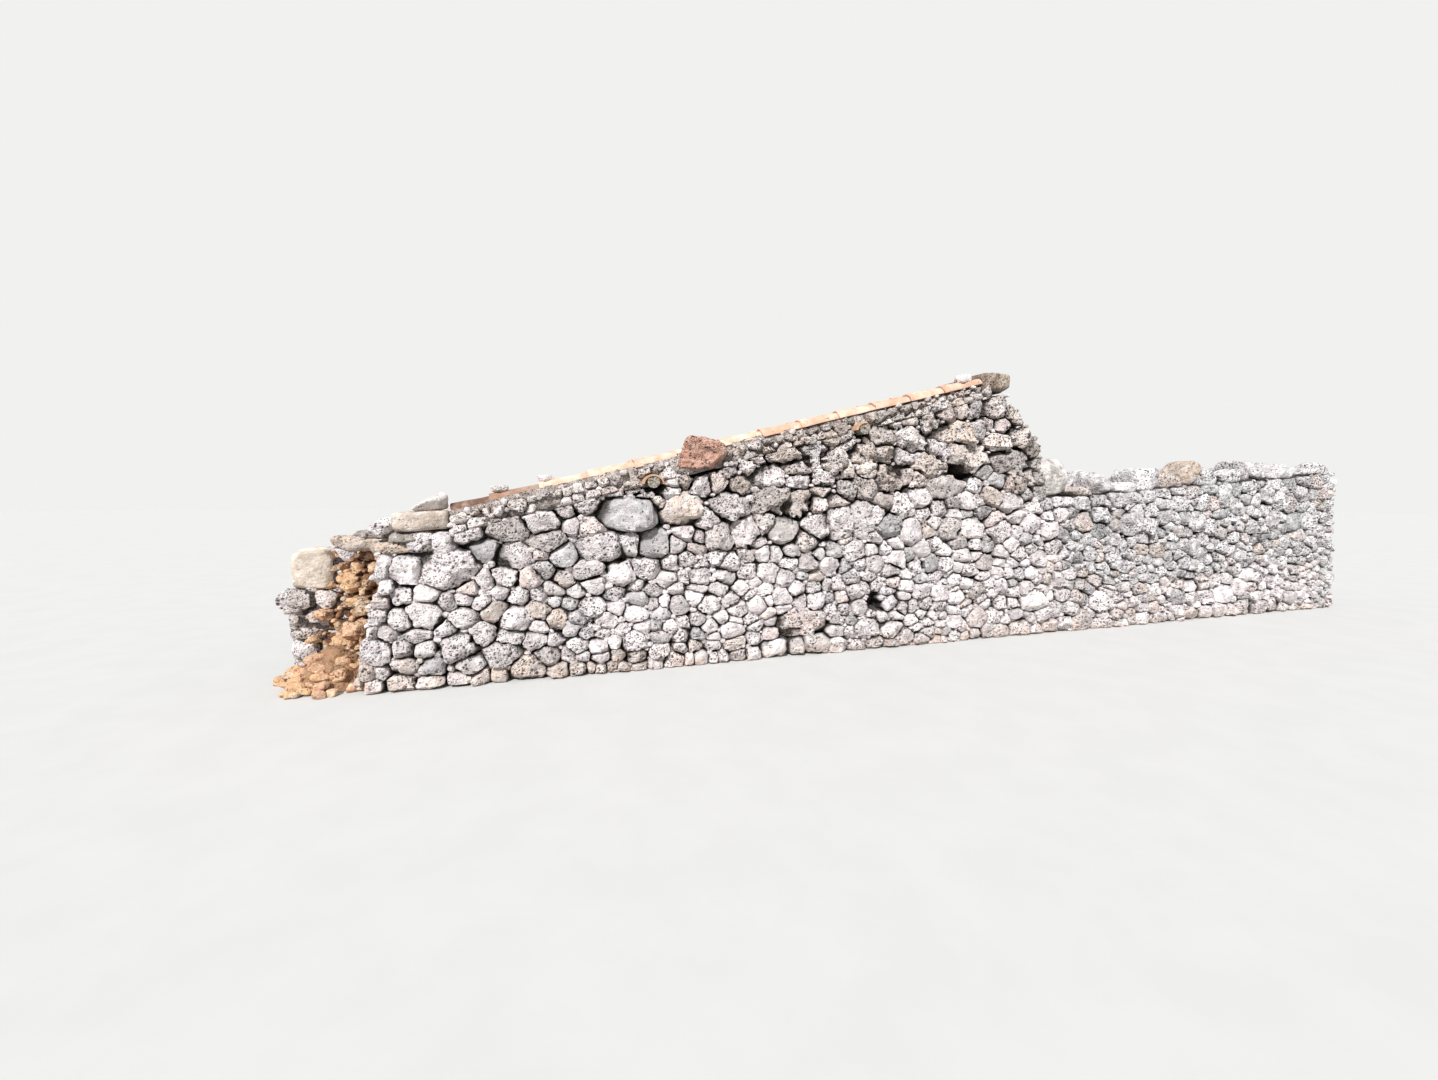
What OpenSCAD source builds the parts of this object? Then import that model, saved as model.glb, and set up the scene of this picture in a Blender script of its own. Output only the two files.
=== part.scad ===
// Dry stone wall: a high stretch with a raking top capped by lapped barrel tiles,
// broken open at its left end, and a lower field wall running on at the right.
// Millimetres. +X runs along the wall to the right, the front face looks towards -Y.
// The origin is at the middle of the base.

/* [Masonry] */
// Thickness of the wall at its base
base_thick = 950; // [850:10:1100]
// Lean of each face, in millimetres for each metre of height
batter = 60; // [40:1:70]
// Thickness of each skin of face stones
skin_thick = 250; // [200:5:280]
// Length of the high wall at its base, from the front skin's broken end to the field wall
high_length = 6480; // [6300:10:7000]
// How far the back skin runs on past the front skin at the broken end
back_overrun = 700; // [600:10:900]
// How far the broken end of the front skin leans in, up to the slabs
front_rake_back = 170; // [60:5:220]
// Height of the masonry under the end slabs
shoulder_height = 1000; // [920:10:1040]
// Distance between main face stones along the wall
main_pitch = 330; // [300:10:420]
// Distance between main face stones up the wall
main_rise = 290; // [260:10:360]
// How far the main face stones stand out of the skins
main_proud = 22; // [10:1:28]

/* [Footing] */
// Rise of each level footing step
footing_rise = 115; // [80:5:140]
// Length of each footing step
footing_run = 2000; // [1800:50:2400]
// Where the first footing step starts, from the front skin's end
footing_start = 900; // [700:50:1200]

/* [Broken end] */
// Length of the squared block on the end of the back skin
block_length = 310; // [260:5:340]
// Height of the squared block
block_height = 320; // [260:5:360]
// Thickness of each end slab
slab_thick = 80; // [60:1:81]
// How far the upper slab is set back from the lower one
slab_step = 180; // [100:5:220]
// Length of the kerb stone at the foot of the tiles
kerb_length = 370; // [300:5:400]
// Height of the kerb stone
kerb_height = 150; // [110:5:170]
// Depth of the kerb stone, across the wall
kerb_depth = 270; // [200:5:300]
// Height of the heap of spilled filling
spill_height = 260; // [180:5:340]

/* [Raking top] */
// Rake of the tiled top, in degrees
rake = 14.16; // [12:0.02:15]
// Height at which the tile plane starts, above the base
tile_plane_height = 1270; // [1250:5:1340]
// Where the tile plane starts, from the front skin's end
tile_plane_start = 543; // [540:5:640]
// Whole tiles in a row
tile_count = 12; // [9:1:12]
// Length of one tile
tile_length = 460; // [430:5:490]
// Length of a tile that shows above the next one
tile_exposure = 378; // [350:2:390]
// Width of a cover tile at its wide end
tile_wide = 180; // [172:1:190]
// Width of a cover tile at its narrow end
tile_narrow = 136; // [128:1:138]
// Thickness of the clay
tile_clay = 13; // [10:0.5:14]
// Distance between neighbouring rows of cover tiles
row_pitch = 235; // [225:1:245]
// Thickness of the mortar bed under the tiles
bed_thick = 62; // [58:1:80]
// Length of the mortar block at the top of the rake
ridge_length = 300; // [240:5:340]
// Height of the ridge block above the tile plane
ridge_height = 95; // [82:1:120]

/* [Logs] */
// Diameter of the round logs
log_diameter = 106; // [80:1:120]
// First log, measured from the front skin's end
log_one_at = 2140; // [2100:5:2170]
// Second log, measured from the front skin's end
log_two_at = 4050; // [4000:5:4150]
// Length of the half-barrel tile over each log
log_tile_length = 290; // [240:5:300]
// How far that tile stands out of the face
log_tile_overhang = 55; // [20:1:60]

/* [Boulders] */
// Height of the pink boulder in the verge
red_boulder_height = 265; // [220:5:290]
// Depth of the pink boulder, across the wall
red_boulder_depth = 220; // [180:5:225]
// How far the pink boulder stands out of the face
red_boulder_overhang = 60; // [20:1:80]
// Length of the rounded stone where the field wall starts
junction_length = 330; // [260:5:360]
// Height of the rounded stone where the field wall starts
junction_height = 410; // [300:5:440]

/* [Field wall] */
// Height of the field wall's masonry at the high wall
field_height = 1395; // [1250:5:1450]
// Rise of the field wall's top along its run, in degrees
field_rise = 3.65; // [2:0.05:5]
// Length of one bay of field wall
bay_length = 1300; // [1100:10:1500]
// Length of the plain built end
end_length = 300; // [250:5:400]
// Height of an average cope stone
cope_height = 235; // [180:5:270]
// Cope stones along each side of a bay
cope_per_bay = 4; // [3:1:5]

/* [Stepped end] */
// Run of the stepped end of the high wall
steps_run = 430; // [360:5:430]
// Number of steps
steps = 4; // [3:1:5]

/* [Hidden] */

$fn = 64;

// Clearance of a seated curved piece
seat = 0.3;
// Cutters run this far past what they cut
over = 10;
bays = 3;
// Heights at which the skins of the high wall are divided, along the wall
split_one = 1750;
split_two = 3750;
// Tallest height that the leaning sections are drawn to
reach = 3200;
// Face lean as a ratio
lean = batter / 1000;

// Places along the wall, measured from the front skin's broken end
wall_left = -back_overrun;
field_start = high_length;
field_stop = high_length + bays * bay_length;
wall_right = field_stop + end_length;
centre_at = (wall_left + wall_right) / 2;

// Tile plane: a point u along the rake and w above the plane, as [along, height]
function rake_point(u, w) = [
  tile_plane_start + u * cos(rake) - w * sin(rake),
  tile_plane_height + u * sin(rake) + w * cos(rake)
];
// Height of the mortar bed's underside at a place along the wall
function bed_under(s) = tile_plane_height + (s - tile_plane_start) * tan(rake) - bed_thick / cos(rake);

bed_start = 90;
bed_stop = tile_count * tile_exposure + tile_length;
bed_foot = rake_point(bed_start, -bed_thick);
bed_head = rake_point(bed_stop, -bed_thick);
ridge_stop = bed_head[0] + ridge_length;
// The cover tiles' axis lies this far below the tile plane, the channel tiles' above it
cover_sink = 15;
channel_lift = 35;
wide_r = tile_wide / 2;
narrow_r = tile_narrow / 2;
tile_taper = (wide_r - narrow_r) / tile_length;
bed_width = 2 * row_pitch + tile_wide + 10;
mid = base_thick / 2;
// The tile missing from the front row, where the pink boulder stands
gap_tile = 5;
gap_start = gap_tile * tile_exposure;
gap_stop = gap_start + tile_exposure;

// Broken end: slabs, kerb and block
slabs = 2;
slab_top = shoulder_height + slabs * slab_thick;
// Face of the exposed hearting at the back skin and at the front skin, its lean, and where it ends inside
exposed_left = wall_left + 110;
exposed_near = 60;
exposed_lean = 200;
exposed_stop = 420;
// Heap of spilled filling: its middle, and its radius at the foot and at the tip
spill_at = (exposed_left + exposed_near) / 2;
spill_foot = 330;
spill_tip = 70;
// The heap lies this far in front of the wall's middle, and the front skin bounds it from here on
spill_forward = 30;
spill_end = -60;
block_seat = shoulder_height - block_height;
block_left = wall_left + 60;
block_right = block_left + block_length;
kerb_right = bed_foot[0] - bed_thick * sin(rake) - 12;
kerb_left = kerb_right - kerb_length;
front_shoulder = front_rake_back;

// Stepped end
steps_start = ridge_stop;
steps_stop = steps_start + steps_run;
steps_top = bed_head[1] - 40;

// Field wall: a point u along its top and w above it
function field_point(u, w) = [
  field_start + u * cos(field_rise) - w * sin(field_rise),
  field_height + u * sin(field_rise) + w * cos(field_rise)
];
function field_top(s) = field_height + (s - field_start) * tan(field_rise);

// Face planes at a height, as distances from the front base line
function front_at(z) = lean * z;
function back_at(z) = base_thick - lean * z;

// Openings where a face stone is missing, as [along, height, width, tall], and their depth
missing_stones = [[4185, 430, 160, 110], [5090, 1600, 110, 80]];
missing_depth = 150;

// Main face stones: one to each cell of a staggered net, its middle as [along, height]
main_foot = 500;
main_sides = 7;
// Room kept round a main stone
main_room = 20;
function main_place(i, k) = [
  main_pitch * (i + 0.5 * (k % 2) + 0.17 * sin(211 * i + 97 * k)),
  main_foot + main_rise * (k + 0.15 * sin(157 * i + 263 * k))
];
// They are smaller low down, as the rest of the face is
function main_size(z) = [main_pitch, main_rise] * (z < shoulder_height ? 0.58 : 0.8);
function apart(from, to, at, half) = from > at + half + main_room || to < at - half - main_room;
function main_fits(p, size) =
  let(
    left = p[0] - size[0] / 2, right = p[0] + size[0] / 2,
    foot = p[1] - size[1] / 2, head = p[1] + size[1] / 2
  )
  left > front_shoulder + main_room
  && head < (left > bed_foot[0] ? min(bed_under(left), bed_head[1]) : shoulder_height) - main_room
  && right < (head < field_height - main_room ? field_start : steps_start) - main_room
  && apart(left, right, split_one, 0) && apart(left, right, split_two, 0)
  && len([for (s = [log_one_at, log_two_at])
    if (!apart(left, right, s, wide_r) && head > log_axis_height(s) - log_r - main_room) s]) == 0
  && (head < bed_under(left) - red_boulder_height / 2 - main_room
    || apart(left, right, rake_point((gap_start + gap_stop) / 2, 0)[0], tile_exposure / 2))
  && len([for (m = missing_stones)
    if (!apart(left, right, m[0], m[2] / 2) && !apart(foot, head, m[1], m[3] / 2)) m]) == 0;
// On the field wall they stay within its bays, above the footing and under the cope
function footing_head(s) = footing_rise * ceil((s - footing_start) / footing_run);
function field_fits(p, size) =
  let(
    left = p[0] - size[0] / 2, right = p[0] + size[0] / 2,
    foot = p[1] - size[1] / 2, head = p[1] + size[1] / 2
  )
  left > field_start && right < field_stop
  && foot > footing_head(right) + main_room && head < field_top(left) - main_room
  && len([for (n = [0:bays]) if (!apart(left, right, field_start + n * bay_length, 0)) n]) == 0;
function main_outline(p, size, i, k) = [
  for (j = [0:main_sides - 1])
    let(a = 360 * j / main_sides + 15 * sin(83 * i + 41 * k), r = 0.5 + 0.06 * sin(131 * i + 71 * k + 97 * j))
    [p[0] + size[0] * r * cos(a), p[1] + size[1] * r * sin(a)]
];

// Colours of the materials
limestone = [0.76, 0.72, 0.69];
grey_stone = [0.62, 0.62, 0.62];
pale_stone = [0.82, 0.77, 0.68];
earth_stone = [0.78, 0.52, 0.30];
clay = [0.80, 0.50, 0.36];
lime_mortar = [0.74, 0.70, 0.64];
old_timber = [0.58, 0.52, 0.45];
red_stone = [0.74, 0.46, 0.38];

// Ragged line of stone ends from one point up to another, as [along, height] steps
function ragged(foot, head, courses, tooth, seed) =
  let(r = rands(-tooth, tooth, courses, seed))
  [for (i = [0:courses - 1]) each [
    [foot[0] + (head[0] - foot[0]) * i / courses + r[i],
     foot[1] + (head[1] - foot[1]) * i / courses],
    [foot[0] + (head[0] - foot[0]) * (i + 0.8) / courses + r[i],
     foot[1] + (head[1] - foot[1]) * (i + 1) / courses]
  ]];

// Extrudes an outline drawn along the wall and upwards, right through the wall
module through_wall(from_y = -over, to_y = base_thick + over) {
  translate([0, to_y, 0])
    rotate([90, 0, 0])
      linear_extrude(to_y - from_y)
        children();
}

// Extrudes an outline drawn across the wall and upwards, along the wall
module along_wall(from_s, to_s) {
  translate([from_s, 0, 0])
    rotate([90, 0, 90])
      linear_extrude(to_s - from_s)
        children();
}

// Cross-sections of the two skins and the hearting
module front_section() {
  polygon([[0, 0], [skin_thick, 0], [skin_thick + lean * reach, reach], [lean * reach, reach]]);
}

module back_section() {
  translate([base_thick, 0])
    mirror([1, 0])
      front_section();
}

// Cross-section of the main stones on the front skin: proud of it, but never past its base line
module proud_section() {
  polygon([
    [0, 0], [skin_thick / 2, 0], [skin_thick / 2 + lean * reach, reach],
    [lean * reach - main_proud, reach], [0, main_proud / lean]
  ]);
}

module core_section() {
  polygon([
    [skin_thick, 0], [base_thick - skin_thick, 0],
    [base_thick - skin_thick - lean * reach, reach], [skin_thick + lean * reach, reach]
  ]);
}

module whole_section() {
  polygon([[0, 0], [base_thick, 0], [base_thick - lean * reach, reach], [lean * reach, reach]]);
}

// Outlines of the high wall's masonry, along the wall and upwards
module high_top(left_edge) {
  polygon(concat(left_edge, [
    [bed_foot[0], shoulder_height], bed_foot, bed_head,
    [ridge_stop, bed_head[1]], [ridge_stop, field_height],
    [field_start, field_height], [field_start, 0]
  ]));
}

module front_outline() {
  high_top(ragged([0, 0], [front_shoulder, shoulder_height], 7, 22, 11));
}

module back_outline() {
  high_top(concat(
    [[wall_left, 0]],
    ragged([wall_left + 8, 90], [block_left - 8, block_seat], 4, 8, 23),
    [[block_right, block_seat], [block_right, shoulder_height]]
  ));
}

module core_outline() {
  high_top([[exposed_stop, 0], [exposed_stop, shoulder_height]]);
}

// Main stones and missing stones of a skin, along the wall and upwards
module main_stones() {
  for (k = [0:ceil((bed_head[1] - main_foot) / main_rise)])
    for (i = [0:ceil(field_stop / main_pitch)])
      let(p = main_place(i, k), size = main_size(main_place(i, k)[1]))
        if (main_fits(p, size) || field_fits(p, size)) polygon(main_outline(p, size, i, k));
}

module missing_outline() {
  for (m = missing_stones)
    translate([m[0], m[1]])
      polygon([
        [-m[2] / 2, -m[3] * 0.3], [-m[2] * 0.2, -m[3] / 2], [m[2] * 0.4, -m[3] / 2], [m[2] / 2, m[3] * 0.1],
        [m[2] * 0.2, m[3] / 2], [-m[2] * 0.3, m[3] * 0.4]
      ]);
}

// Level footing steps under the rising ground
module footing_outline() {
  n = ceil((wall_right - footing_start) / footing_run);
  for (k = [0:n - 1])
    translate([footing_start + k * footing_run, 0])
      square([min(footing_run, wall_right - footing_start - k * footing_run), (k + 1) * footing_rise]);
}

module strip(from_s, to_s) {
  translate([from_s, -over])
    square([to_s - from_s, reach + 2 * over]);
}

// Rough stone: a block whose corners are knocked off by three turned blocks, resting on z = 0
module rough_stone(size, seed, turn = 13) {
  a = rands(-turn, turn, 9, seed);
  translate([0, 0, size[2] / 2])
    intersection() {
      cube(size, center = true);
      rotate([a[0], a[1], 25 + a[2]]) cube([size[0] * 1.02, size[0] * 0.5 + size[1] * 0.62, size[2] * 1.12], center = true);
      rotate([a[3], 22 + a[4], a[5]]) cube([size[0] * 1.02, size[1] * 1.1, size[0] * 0.34 + size[2] * 0.78], center = true);
      rotate([24 + a[6], a[7], a[8]]) cube([size[0] * 1.1, size[1] * 0.98, size[1] * 0.34 + size[2] * 0.8], center = true);
    }
}

// Moves a piece drawn in the tile plane's frame to its place on the wall
module on_rake() {
  translate([tile_plane_start, mid, tile_plane_height])
    rotate([0, -rake, 0])
      children();
}

// Moves a piece drawn along the field wall's top to its place
module on_field_top(u = 0) {
  translate([field_start, 0, field_height])
    rotate([0, -field_rise, 0])
      translate([u, 0, 0])
        children();
}

// Outside of one tapered barrel, from its wide end at u = 0, grown by a clearance
module barrel_outside(grow = 0, length = tile_length) {
  rotate([0, 90, 0])
    cylinder(h = length, r1 = wide_r + grow, r2 = wide_r - tile_taper * length + grow);
}

module barrel_shell(length = tile_length) {
  difference() {
    barrel_outside(0, length);
    translate([-over, 0, 0])
      rotate([0, 90, 0])
        cylinder(
          h = length + 2 * over,
          r1 = wide_r - tile_clay + tile_taper * over,
          r2 = wide_r - tile_clay - tile_taper * (length + over)
        );
  }
}

// One cover tile, hollow side down, standing on the tile plane
module cover_tile(length = tile_length) {
  intersection() {
    translate([0, 0, -cover_sink]) barrel_shell(length);
    translate([-over, -tile_wide, 0]) cube([length + 2 * over, 2 * tile_wide, tile_wide]);
  }
}

// One channel tile, hollow side up, its narrow end down the rake, rims in the tile plane
module channel_tile() {
  intersection() {
    translate([tile_length, 0, channel_lift]) mirror([1, 0, 0]) barrel_shell();
    translate([-over, -tile_wide, -tile_wide]) cube([tile_length + 2 * over, 2 * tile_wide, tile_wide]);
  }
}

module cover_row(row, missing = -1) {
  on_rake()
    translate([0, row * row_pitch, 0])
      for (i = [1:tile_count])
        if (i != missing)
          translate([i * tile_exposure, 0, 0])
            cover_tile(i == missing - 1 ? tile_exposure - seat : tile_length);
}

module channel_row(row) {
  on_rake()
    intersection() {
      translate([0, row * row_pitch, 0])
        for (i = [0:tile_count])
          translate([i * tile_exposure, 0, 0])
            channel_tile();
      translate([bed_start, -base_thick, -tile_wide])
        cube([bed_stop - bed_start, 2 * base_thick, 2 * tile_wide]);
    }
}

// Space that the pink boulder takes out of the bed and the skin
module boulder_pocket(grow = 0) {
  on_rake()
    translate([gap_start + seat, -mid, -red_boulder_height / 2 - grow])
      cube([gap_stop - gap_start - 2 * seat, boulder_back + grow, red_boulder_height + 2 * over]);
}
boulder_front = front_at(rake_point(gap_start, 0)[1]) - red_boulder_overhang;
boulder_back = boulder_front + red_boulder_depth;

// Arched space and bore for a log and the tile over it
log_r = log_diameter / 2;
log_tile_out = wide_r;
log_tile_in = wide_r - tile_clay;
// Masonry left between a log's tile and the mortar bed
log_cover = 8;
function log_arch_height(s) = bed_under(s) - (log_tile_out + log_cover) / cos(rake);
function log_axis_height(s) = log_arch_height(s) + log_tile_in - log_r - seat;

module across(s, z, from_y, to_y, r) {
  translate([s, from_y, z])
    rotate([-90, 0, 0])
      cylinder(h = to_y - from_y, r = r);
}

module log_space(s) {
  across(s, log_axis_height(s), -over, base_thick + over, log_r + seat);
  intersection() {
    across(s, log_arch_height(s), -over, log_tile_back(s), log_tile_out + seat);
    translate([s - tile_wide, -2 * over, log_arch_height(s)])
      cube([2 * tile_wide, base_thick, tile_wide]);
  }
}

function log_tile_front(s) = front_at(log_arch_height(s)) - log_tile_overhang;
function log_tile_back(s) = log_tile_front(s) + log_tile_length;

module log(s) {
  color(old_timber)
    across(s, log_axis_height(s), log_tile_front(s) + 8, back_at(log_axis_height(s)) + 12, log_r);
}

module log_tile(s) {
  color(clay)
    intersection() {
      difference() {
        across(s, log_arch_height(s), log_tile_front(s), log_tile_back(s), log_tile_out);
        across(s, log_arch_height(s), log_tile_front(s) - over, log_tile_back(s) + over, log_tile_in);
      }
      translate([s - tile_wide, -over, log_arch_height(s)])
        cube([2 * tile_wide, base_thick, tile_wide]);
    }
}

// Skins of the high wall between two places
module front_stretch(from_s, to_s) {
  color(limestone)
    difference() {
      union() {
        intersection() {
          through_wall() difference() {
            intersection() { front_outline(); strip(from_s, to_s); }
            footing_outline();
          }
          along_wall(wall_left - over, wall_right + over) front_section();
        }
        main_stretch(from_s, to_s);
      }
      children();
    }
}

module back_stretch(from_s, to_s) {
  color(limestone)
    difference() {
      union() {
        intersection() {
          through_wall() difference() {
            intersection() { back_outline(); strip(from_s, to_s); }
            footing_outline();
          }
          along_wall(wall_left - over, wall_right + over) back_section();
        }
        translate([0, base_thick, 0]) mirror([0, 1, 0]) main_stretch(from_s, to_s);
      }
      children();
    }
}

// Main stones of the front skin between two places
module main_stretch(from_s, to_s) {
  intersection() {
    through_wall() intersection() { main_stones(); strip(from_s, to_s); }
    along_wall(wall_left - over, wall_right + over) proud_section();
  }
}

module core_stretch(from_s, to_s) {
  color(earth_stone)
    difference() {
      intersection() {
        through_wall() intersection() { core_outline(); strip(from_s, to_s); }
        along_wall(wall_left - over, wall_right + over) core_section();
      }
      children();
    }
}

module front_footing() {
  color(grey_stone)
    intersection() {
      through_wall() footing_outline();
      along_wall(wall_left - over, wall_right + over) front_section();
    }
}

module back_footing() {
  color(grey_stone)
    intersection() {
      through_wall() footing_outline();
      along_wall(wall_left - over, wall_right + over) back_section();
    }
}

module front_face_left() { front_stretch(wall_left - over, split_one); }

module front_face_middle() {
  front_stretch(split_one, split_two) {
    log_space(log_one_at);
    boulder_pocket();
  }
}

module front_face_right() {
  front_stretch(split_two, field_start) {
    log_space(log_two_at);
    intersection() {
      through_wall() missing_outline();
      along_wall(split_two, field_start)
        polygon([[-over, 0], [missing_depth, 0], [missing_depth + lean * reach, reach], [-over, reach]]);
    }
  }
}
module back_face_left() { back_stretch(wall_left - over, split_one); }
module back_face_middle() { back_stretch(split_one, split_two) log_space(log_one_at); }
module back_face_right() { back_stretch(split_two, field_start) log_space(log_two_at); }
module hearting_left() { core_stretch(exposed_stop, split_one); }
module hearting_middle() { core_stretch(split_one, split_two) log_space(log_one_at); }
module hearting_right() { core_stretch(split_two, field_start) log_space(log_two_at); }

// Broken end of the hearting: its face runs slantwise from skin to skin and leans in
module exposed_hearting() {
  color(earth_stone)
    intersection() {
      through_wall() polygon([
        [exposed_left, 0], [exposed_left + exposed_lean, shoulder_height],
        [exposed_stop, shoulder_height], [exposed_stop, 0]
      ]);
      linear_extrude(shoulder_height) polygon([
        [exposed_near, skin_thick], [exposed_left, base_thick - skin_thick],
        [exposed_stop, base_thick - skin_thick + over], [exposed_stop, skin_thick - over],
        [exposed_near, skin_thick - over]
      ]);
      along_wall(wall_left, exposed_stop) core_section();
    }
}

module spilled_rubble() {
  color(earth_stone)
    difference() {
      translate([spill_at, mid - spill_forward, 0])
        cylinder(h = spill_height, r1 = spill_foot, r2 = spill_tip);
      exposed_hearting();
      along_wall(wall_left, field_start) back_section();
      intersection() {
        along_wall(wall_left, field_start) front_section();
        translate([spill_end, -over, -over]) cube([field_start, base_thick, reach]);
      }
      translate([spill_end, -over, -over]) cube([field_start, skin_thick + over, reach]);
    }
}

module end_block() {
  color(pale_stone)
    intersection() {
      through_wall(base_thick - skin_thick - 40, base_thick)
        polygon([
          [block_left + 18, block_seat], [block_left, block_seat + block_height * 0.3],
          [block_left + 6, shoulder_height - 40], [block_left + 45, shoulder_height],
          [block_right, shoulder_height], [block_right, block_seat]
        ]);
      along_wall(wall_left, field_start) back_section();
    }
}

module end_slabs() {
  color(pale_stone)
    intersection() {
      for (k = [0:slabs - 1])
        translate([0, 0, shoulder_height + k * slab_thick])
          linear_extrude(slab_thick)
            polygon([
              [front_shoulder - 30 + k * slab_step * 0.3, 0],
              [front_shoulder - 90 + k * slab_step * 0.5, skin_thick],
              [block_right - 20 + k * slab_step, base_thick - skin_thick],
              [block_right - 50 + k * slab_step, base_thick],
              [bed_foot[0], base_thick], [bed_foot[0], 0]
            ]);
      along_wall(wall_left, field_start) whole_section();
    }
}

// Long kerb stone with rounded ends
module kerb(from_y) {
  r = kerb_height * 0.3;
  translate([kerb_left, from_y + kerb_depth, slab_top])
    rotate([90, 0, 0])
      linear_extrude(kerb_depth)
        union() {
          square([kerb_length, kerb_height - r]);
          translate([r, 0]) square([kerb_length - 2 * r, kerb_height]);
          translate([r, kerb_height - r]) circle(r);
          translate([kerb_length - r, kerb_height - r]) circle(r);
        }
}

module kerb_stones() {
  color(pale_stone) {
    kerb(front_at(slab_top) - 5);
    kerb(back_at(slab_top) - kerb_depth + 5);
  }
}

module mortar_bed() {
  color(lime_mortar)
    difference() {
      on_rake() difference() {
        union() {
          translate([bed_start, -bed_width / 2, -bed_thick])
            cube([bed_stop - bed_start, bed_width, bed_thick]);
          for (row = [-1:1])
            intersection() {
              translate([bed_start, row * row_pitch, -cover_sink])
                rotate([0, 90, 0])
                  cylinder(h = bed_stop - bed_start, r = narrow_r - tile_clay - seat);
              translate([bed_start, -base_thick, -1])
                cube([bed_stop - bed_start, 2 * base_thick, tile_wide]);
            }
        }
        for (row = [-0.5, 0.5])
          intersection() {
            translate([bed_start - over, row * row_pitch, channel_lift])
              rotate([0, 90, 0])
                cylinder(h = bed_stop - bed_start + 2 * over, r = wide_r + seat);
            translate([bed_start - over, -base_thick, -tile_wide])
              cube([bed_stop - bed_start + 2 * over, 2 * base_thick, tile_wide]);
          }
      }
      boulder_pocket();
    }
}

module front_cover_tiles() { color(clay) cover_row(-1, gap_tile); }
module middle_cover_tiles() { color(clay) cover_row(0); }
module back_cover_tiles() { color(clay) cover_row(1); }
module front_channel_tiles() { color(clay) channel_row(-0.5); }
module back_channel_tiles() { color(clay) channel_row(0.5); }

// Lowest tile of each cover row, its lower end broken off on the slant
module broken_tiles() {
  color(clay)
    on_rake()
      for (row = [-1:1])
        difference() {
          translate([0, row * row_pitch, 0]) cover_tile();
          translate([bed_start + 30 + 25 * row, row * row_pitch - tile_wide, -over])
            rotate([0, 0, 14 * (row + 0.5)])
              translate([-tile_length, -tile_wide, 0])
                cube([tile_length, 4 * tile_wide, 2 * tile_wide]);
        }
}

module ridge_block() {
  head_top = rake_point(bed_stop, ridge_height);
  color(lime_mortar)
    through_wall(mid - bed_width / 2, mid + bed_width / 2)
      polygon([
        bed_head, head_top, [head_top[0] + 60, head_top[1] + 20],
        [ridge_stop - 85, head_top[1] + 16], [ridge_stop - 5, bed_head[1] + 55],
        [ridge_stop, bed_head[1]]
      ]);
}

// Stone lying on the crown of a cover tile, hollowed where the tile carries it
module saddle_stone(tile, offset, row, size, seed) {
  on_rake()
    translate([tile * tile_exposure, row * row_pitch, 0])
      difference() {
        translate([offset, 0, wide_r - cover_sink - tile_taper * offset - 14])
          rough_stone(size, seed);
        translate([0, 0, -cover_sink]) barrel_outside(seat);
      }
}

module ballast_stones() {
  color(limestone) {
    translate([kerb_left + 0.62 * kerb_length, front_at(slab_top) + kerb_depth / 2, slab_top + kerb_height])
      rough_stone([0.57 * kerb_length, 0.74 * kerb_depth, 0.8 * kerb_height], 31);
    saddle_stone(1, 0.24 * tile_exposure, -1, tile_narrow * [0.96, 0.81, 0.46], 32);
    saddle_stone(2, 0.16 * tile_exposure, -1, tile_narrow * [0.81, 0.74, 0.43], 33);
    saddle_stone(tile_count, 0.77 * tile_exposure, -1, tile_narrow * [1.25, 0.96, 0.65], 34);
  }
}

module red_boulder() {
  color(red_stone)
    intersection() {
      boulder_pocket(0);
      on_rake()
        translate([(gap_start + gap_stop) / 2, boulder_front - mid + red_boulder_depth / 2, -red_boulder_height / 2])
          rough_stone([gap_stop - gap_start - 2 * seat, red_boulder_depth, red_boulder_height], 41, 9);
    }
}

module left_log() { log(log_one_at); }
module right_log() { log(log_two_at); }
module left_log_tile() { log_tile(log_one_at); }
module right_log_tile() { log_tile(log_two_at); }

module stepped_end() {
  run = steps_run / steps;
  fall = (steps_top - field_height - junction_height) / (steps - 0.4);
  color(limestone)
    intersection() {
      through_wall()
        polygon(concat(
          [[steps_start, field_height]],
          [for (k = [0:steps - 1]) each [
            [steps_start + k * run, steps_top - k * fall],
            [steps_start + (k + 1) * run, steps_top - (k + 0.35) * fall]
          ]],
          [[steps_stop, field_height]]
        ));
      along_wall(steps_start, steps_stop) whole_section();
    }
}

module junction_stones() {
  junction_depth = (back_at(field_height) - front_at(field_height)) / 2 - 12;
  color(grey_stone)
    for (side = [-1, 1])
      translate([steps_stop + seat + junction_length / 2, mid + side * (junction_depth / 2 + 4), field_height])
        rough_stone([junction_length, junction_depth, junction_height], 50 + side, 9);
}

// Bay of the field wall, between its ends, for one section
module field_outline(from_s, to_s) {
  polygon([[from_s, 0], [to_s, 0], [to_s, field_top(to_s)], [from_s, field_top(from_s)]]);
}

module field_front(bay) {
  from_s = field_start + (bay - 1) * bay_length;
  color(limestone)
    union() {
      intersection() {
        through_wall() difference() {
          field_outline(from_s, from_s + bay_length);
          footing_outline();
        }
        along_wall(wall_left, wall_right) front_section();
      }
      main_stretch(from_s, from_s + bay_length);
    }
}

// The back skin is the front one seen from the other side
module field_back(bay) {
  translate([0, base_thick, 0])
    mirror([0, 1, 0])
      field_front(bay);
}

module field_hearting() {
  color(earth_stone)
    intersection() {
      through_wall() field_outline(field_start, field_stop);
      along_wall(wall_left, wall_right) core_section();
    }
}

module field_end() {
  color(limestone)
    intersection() {
      through_wall() field_outline(field_stop, wall_right);
      along_wall(field_stop, wall_right) difference() {
        whole_section();
        front_section_below_footing();
      }
    }
}

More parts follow.
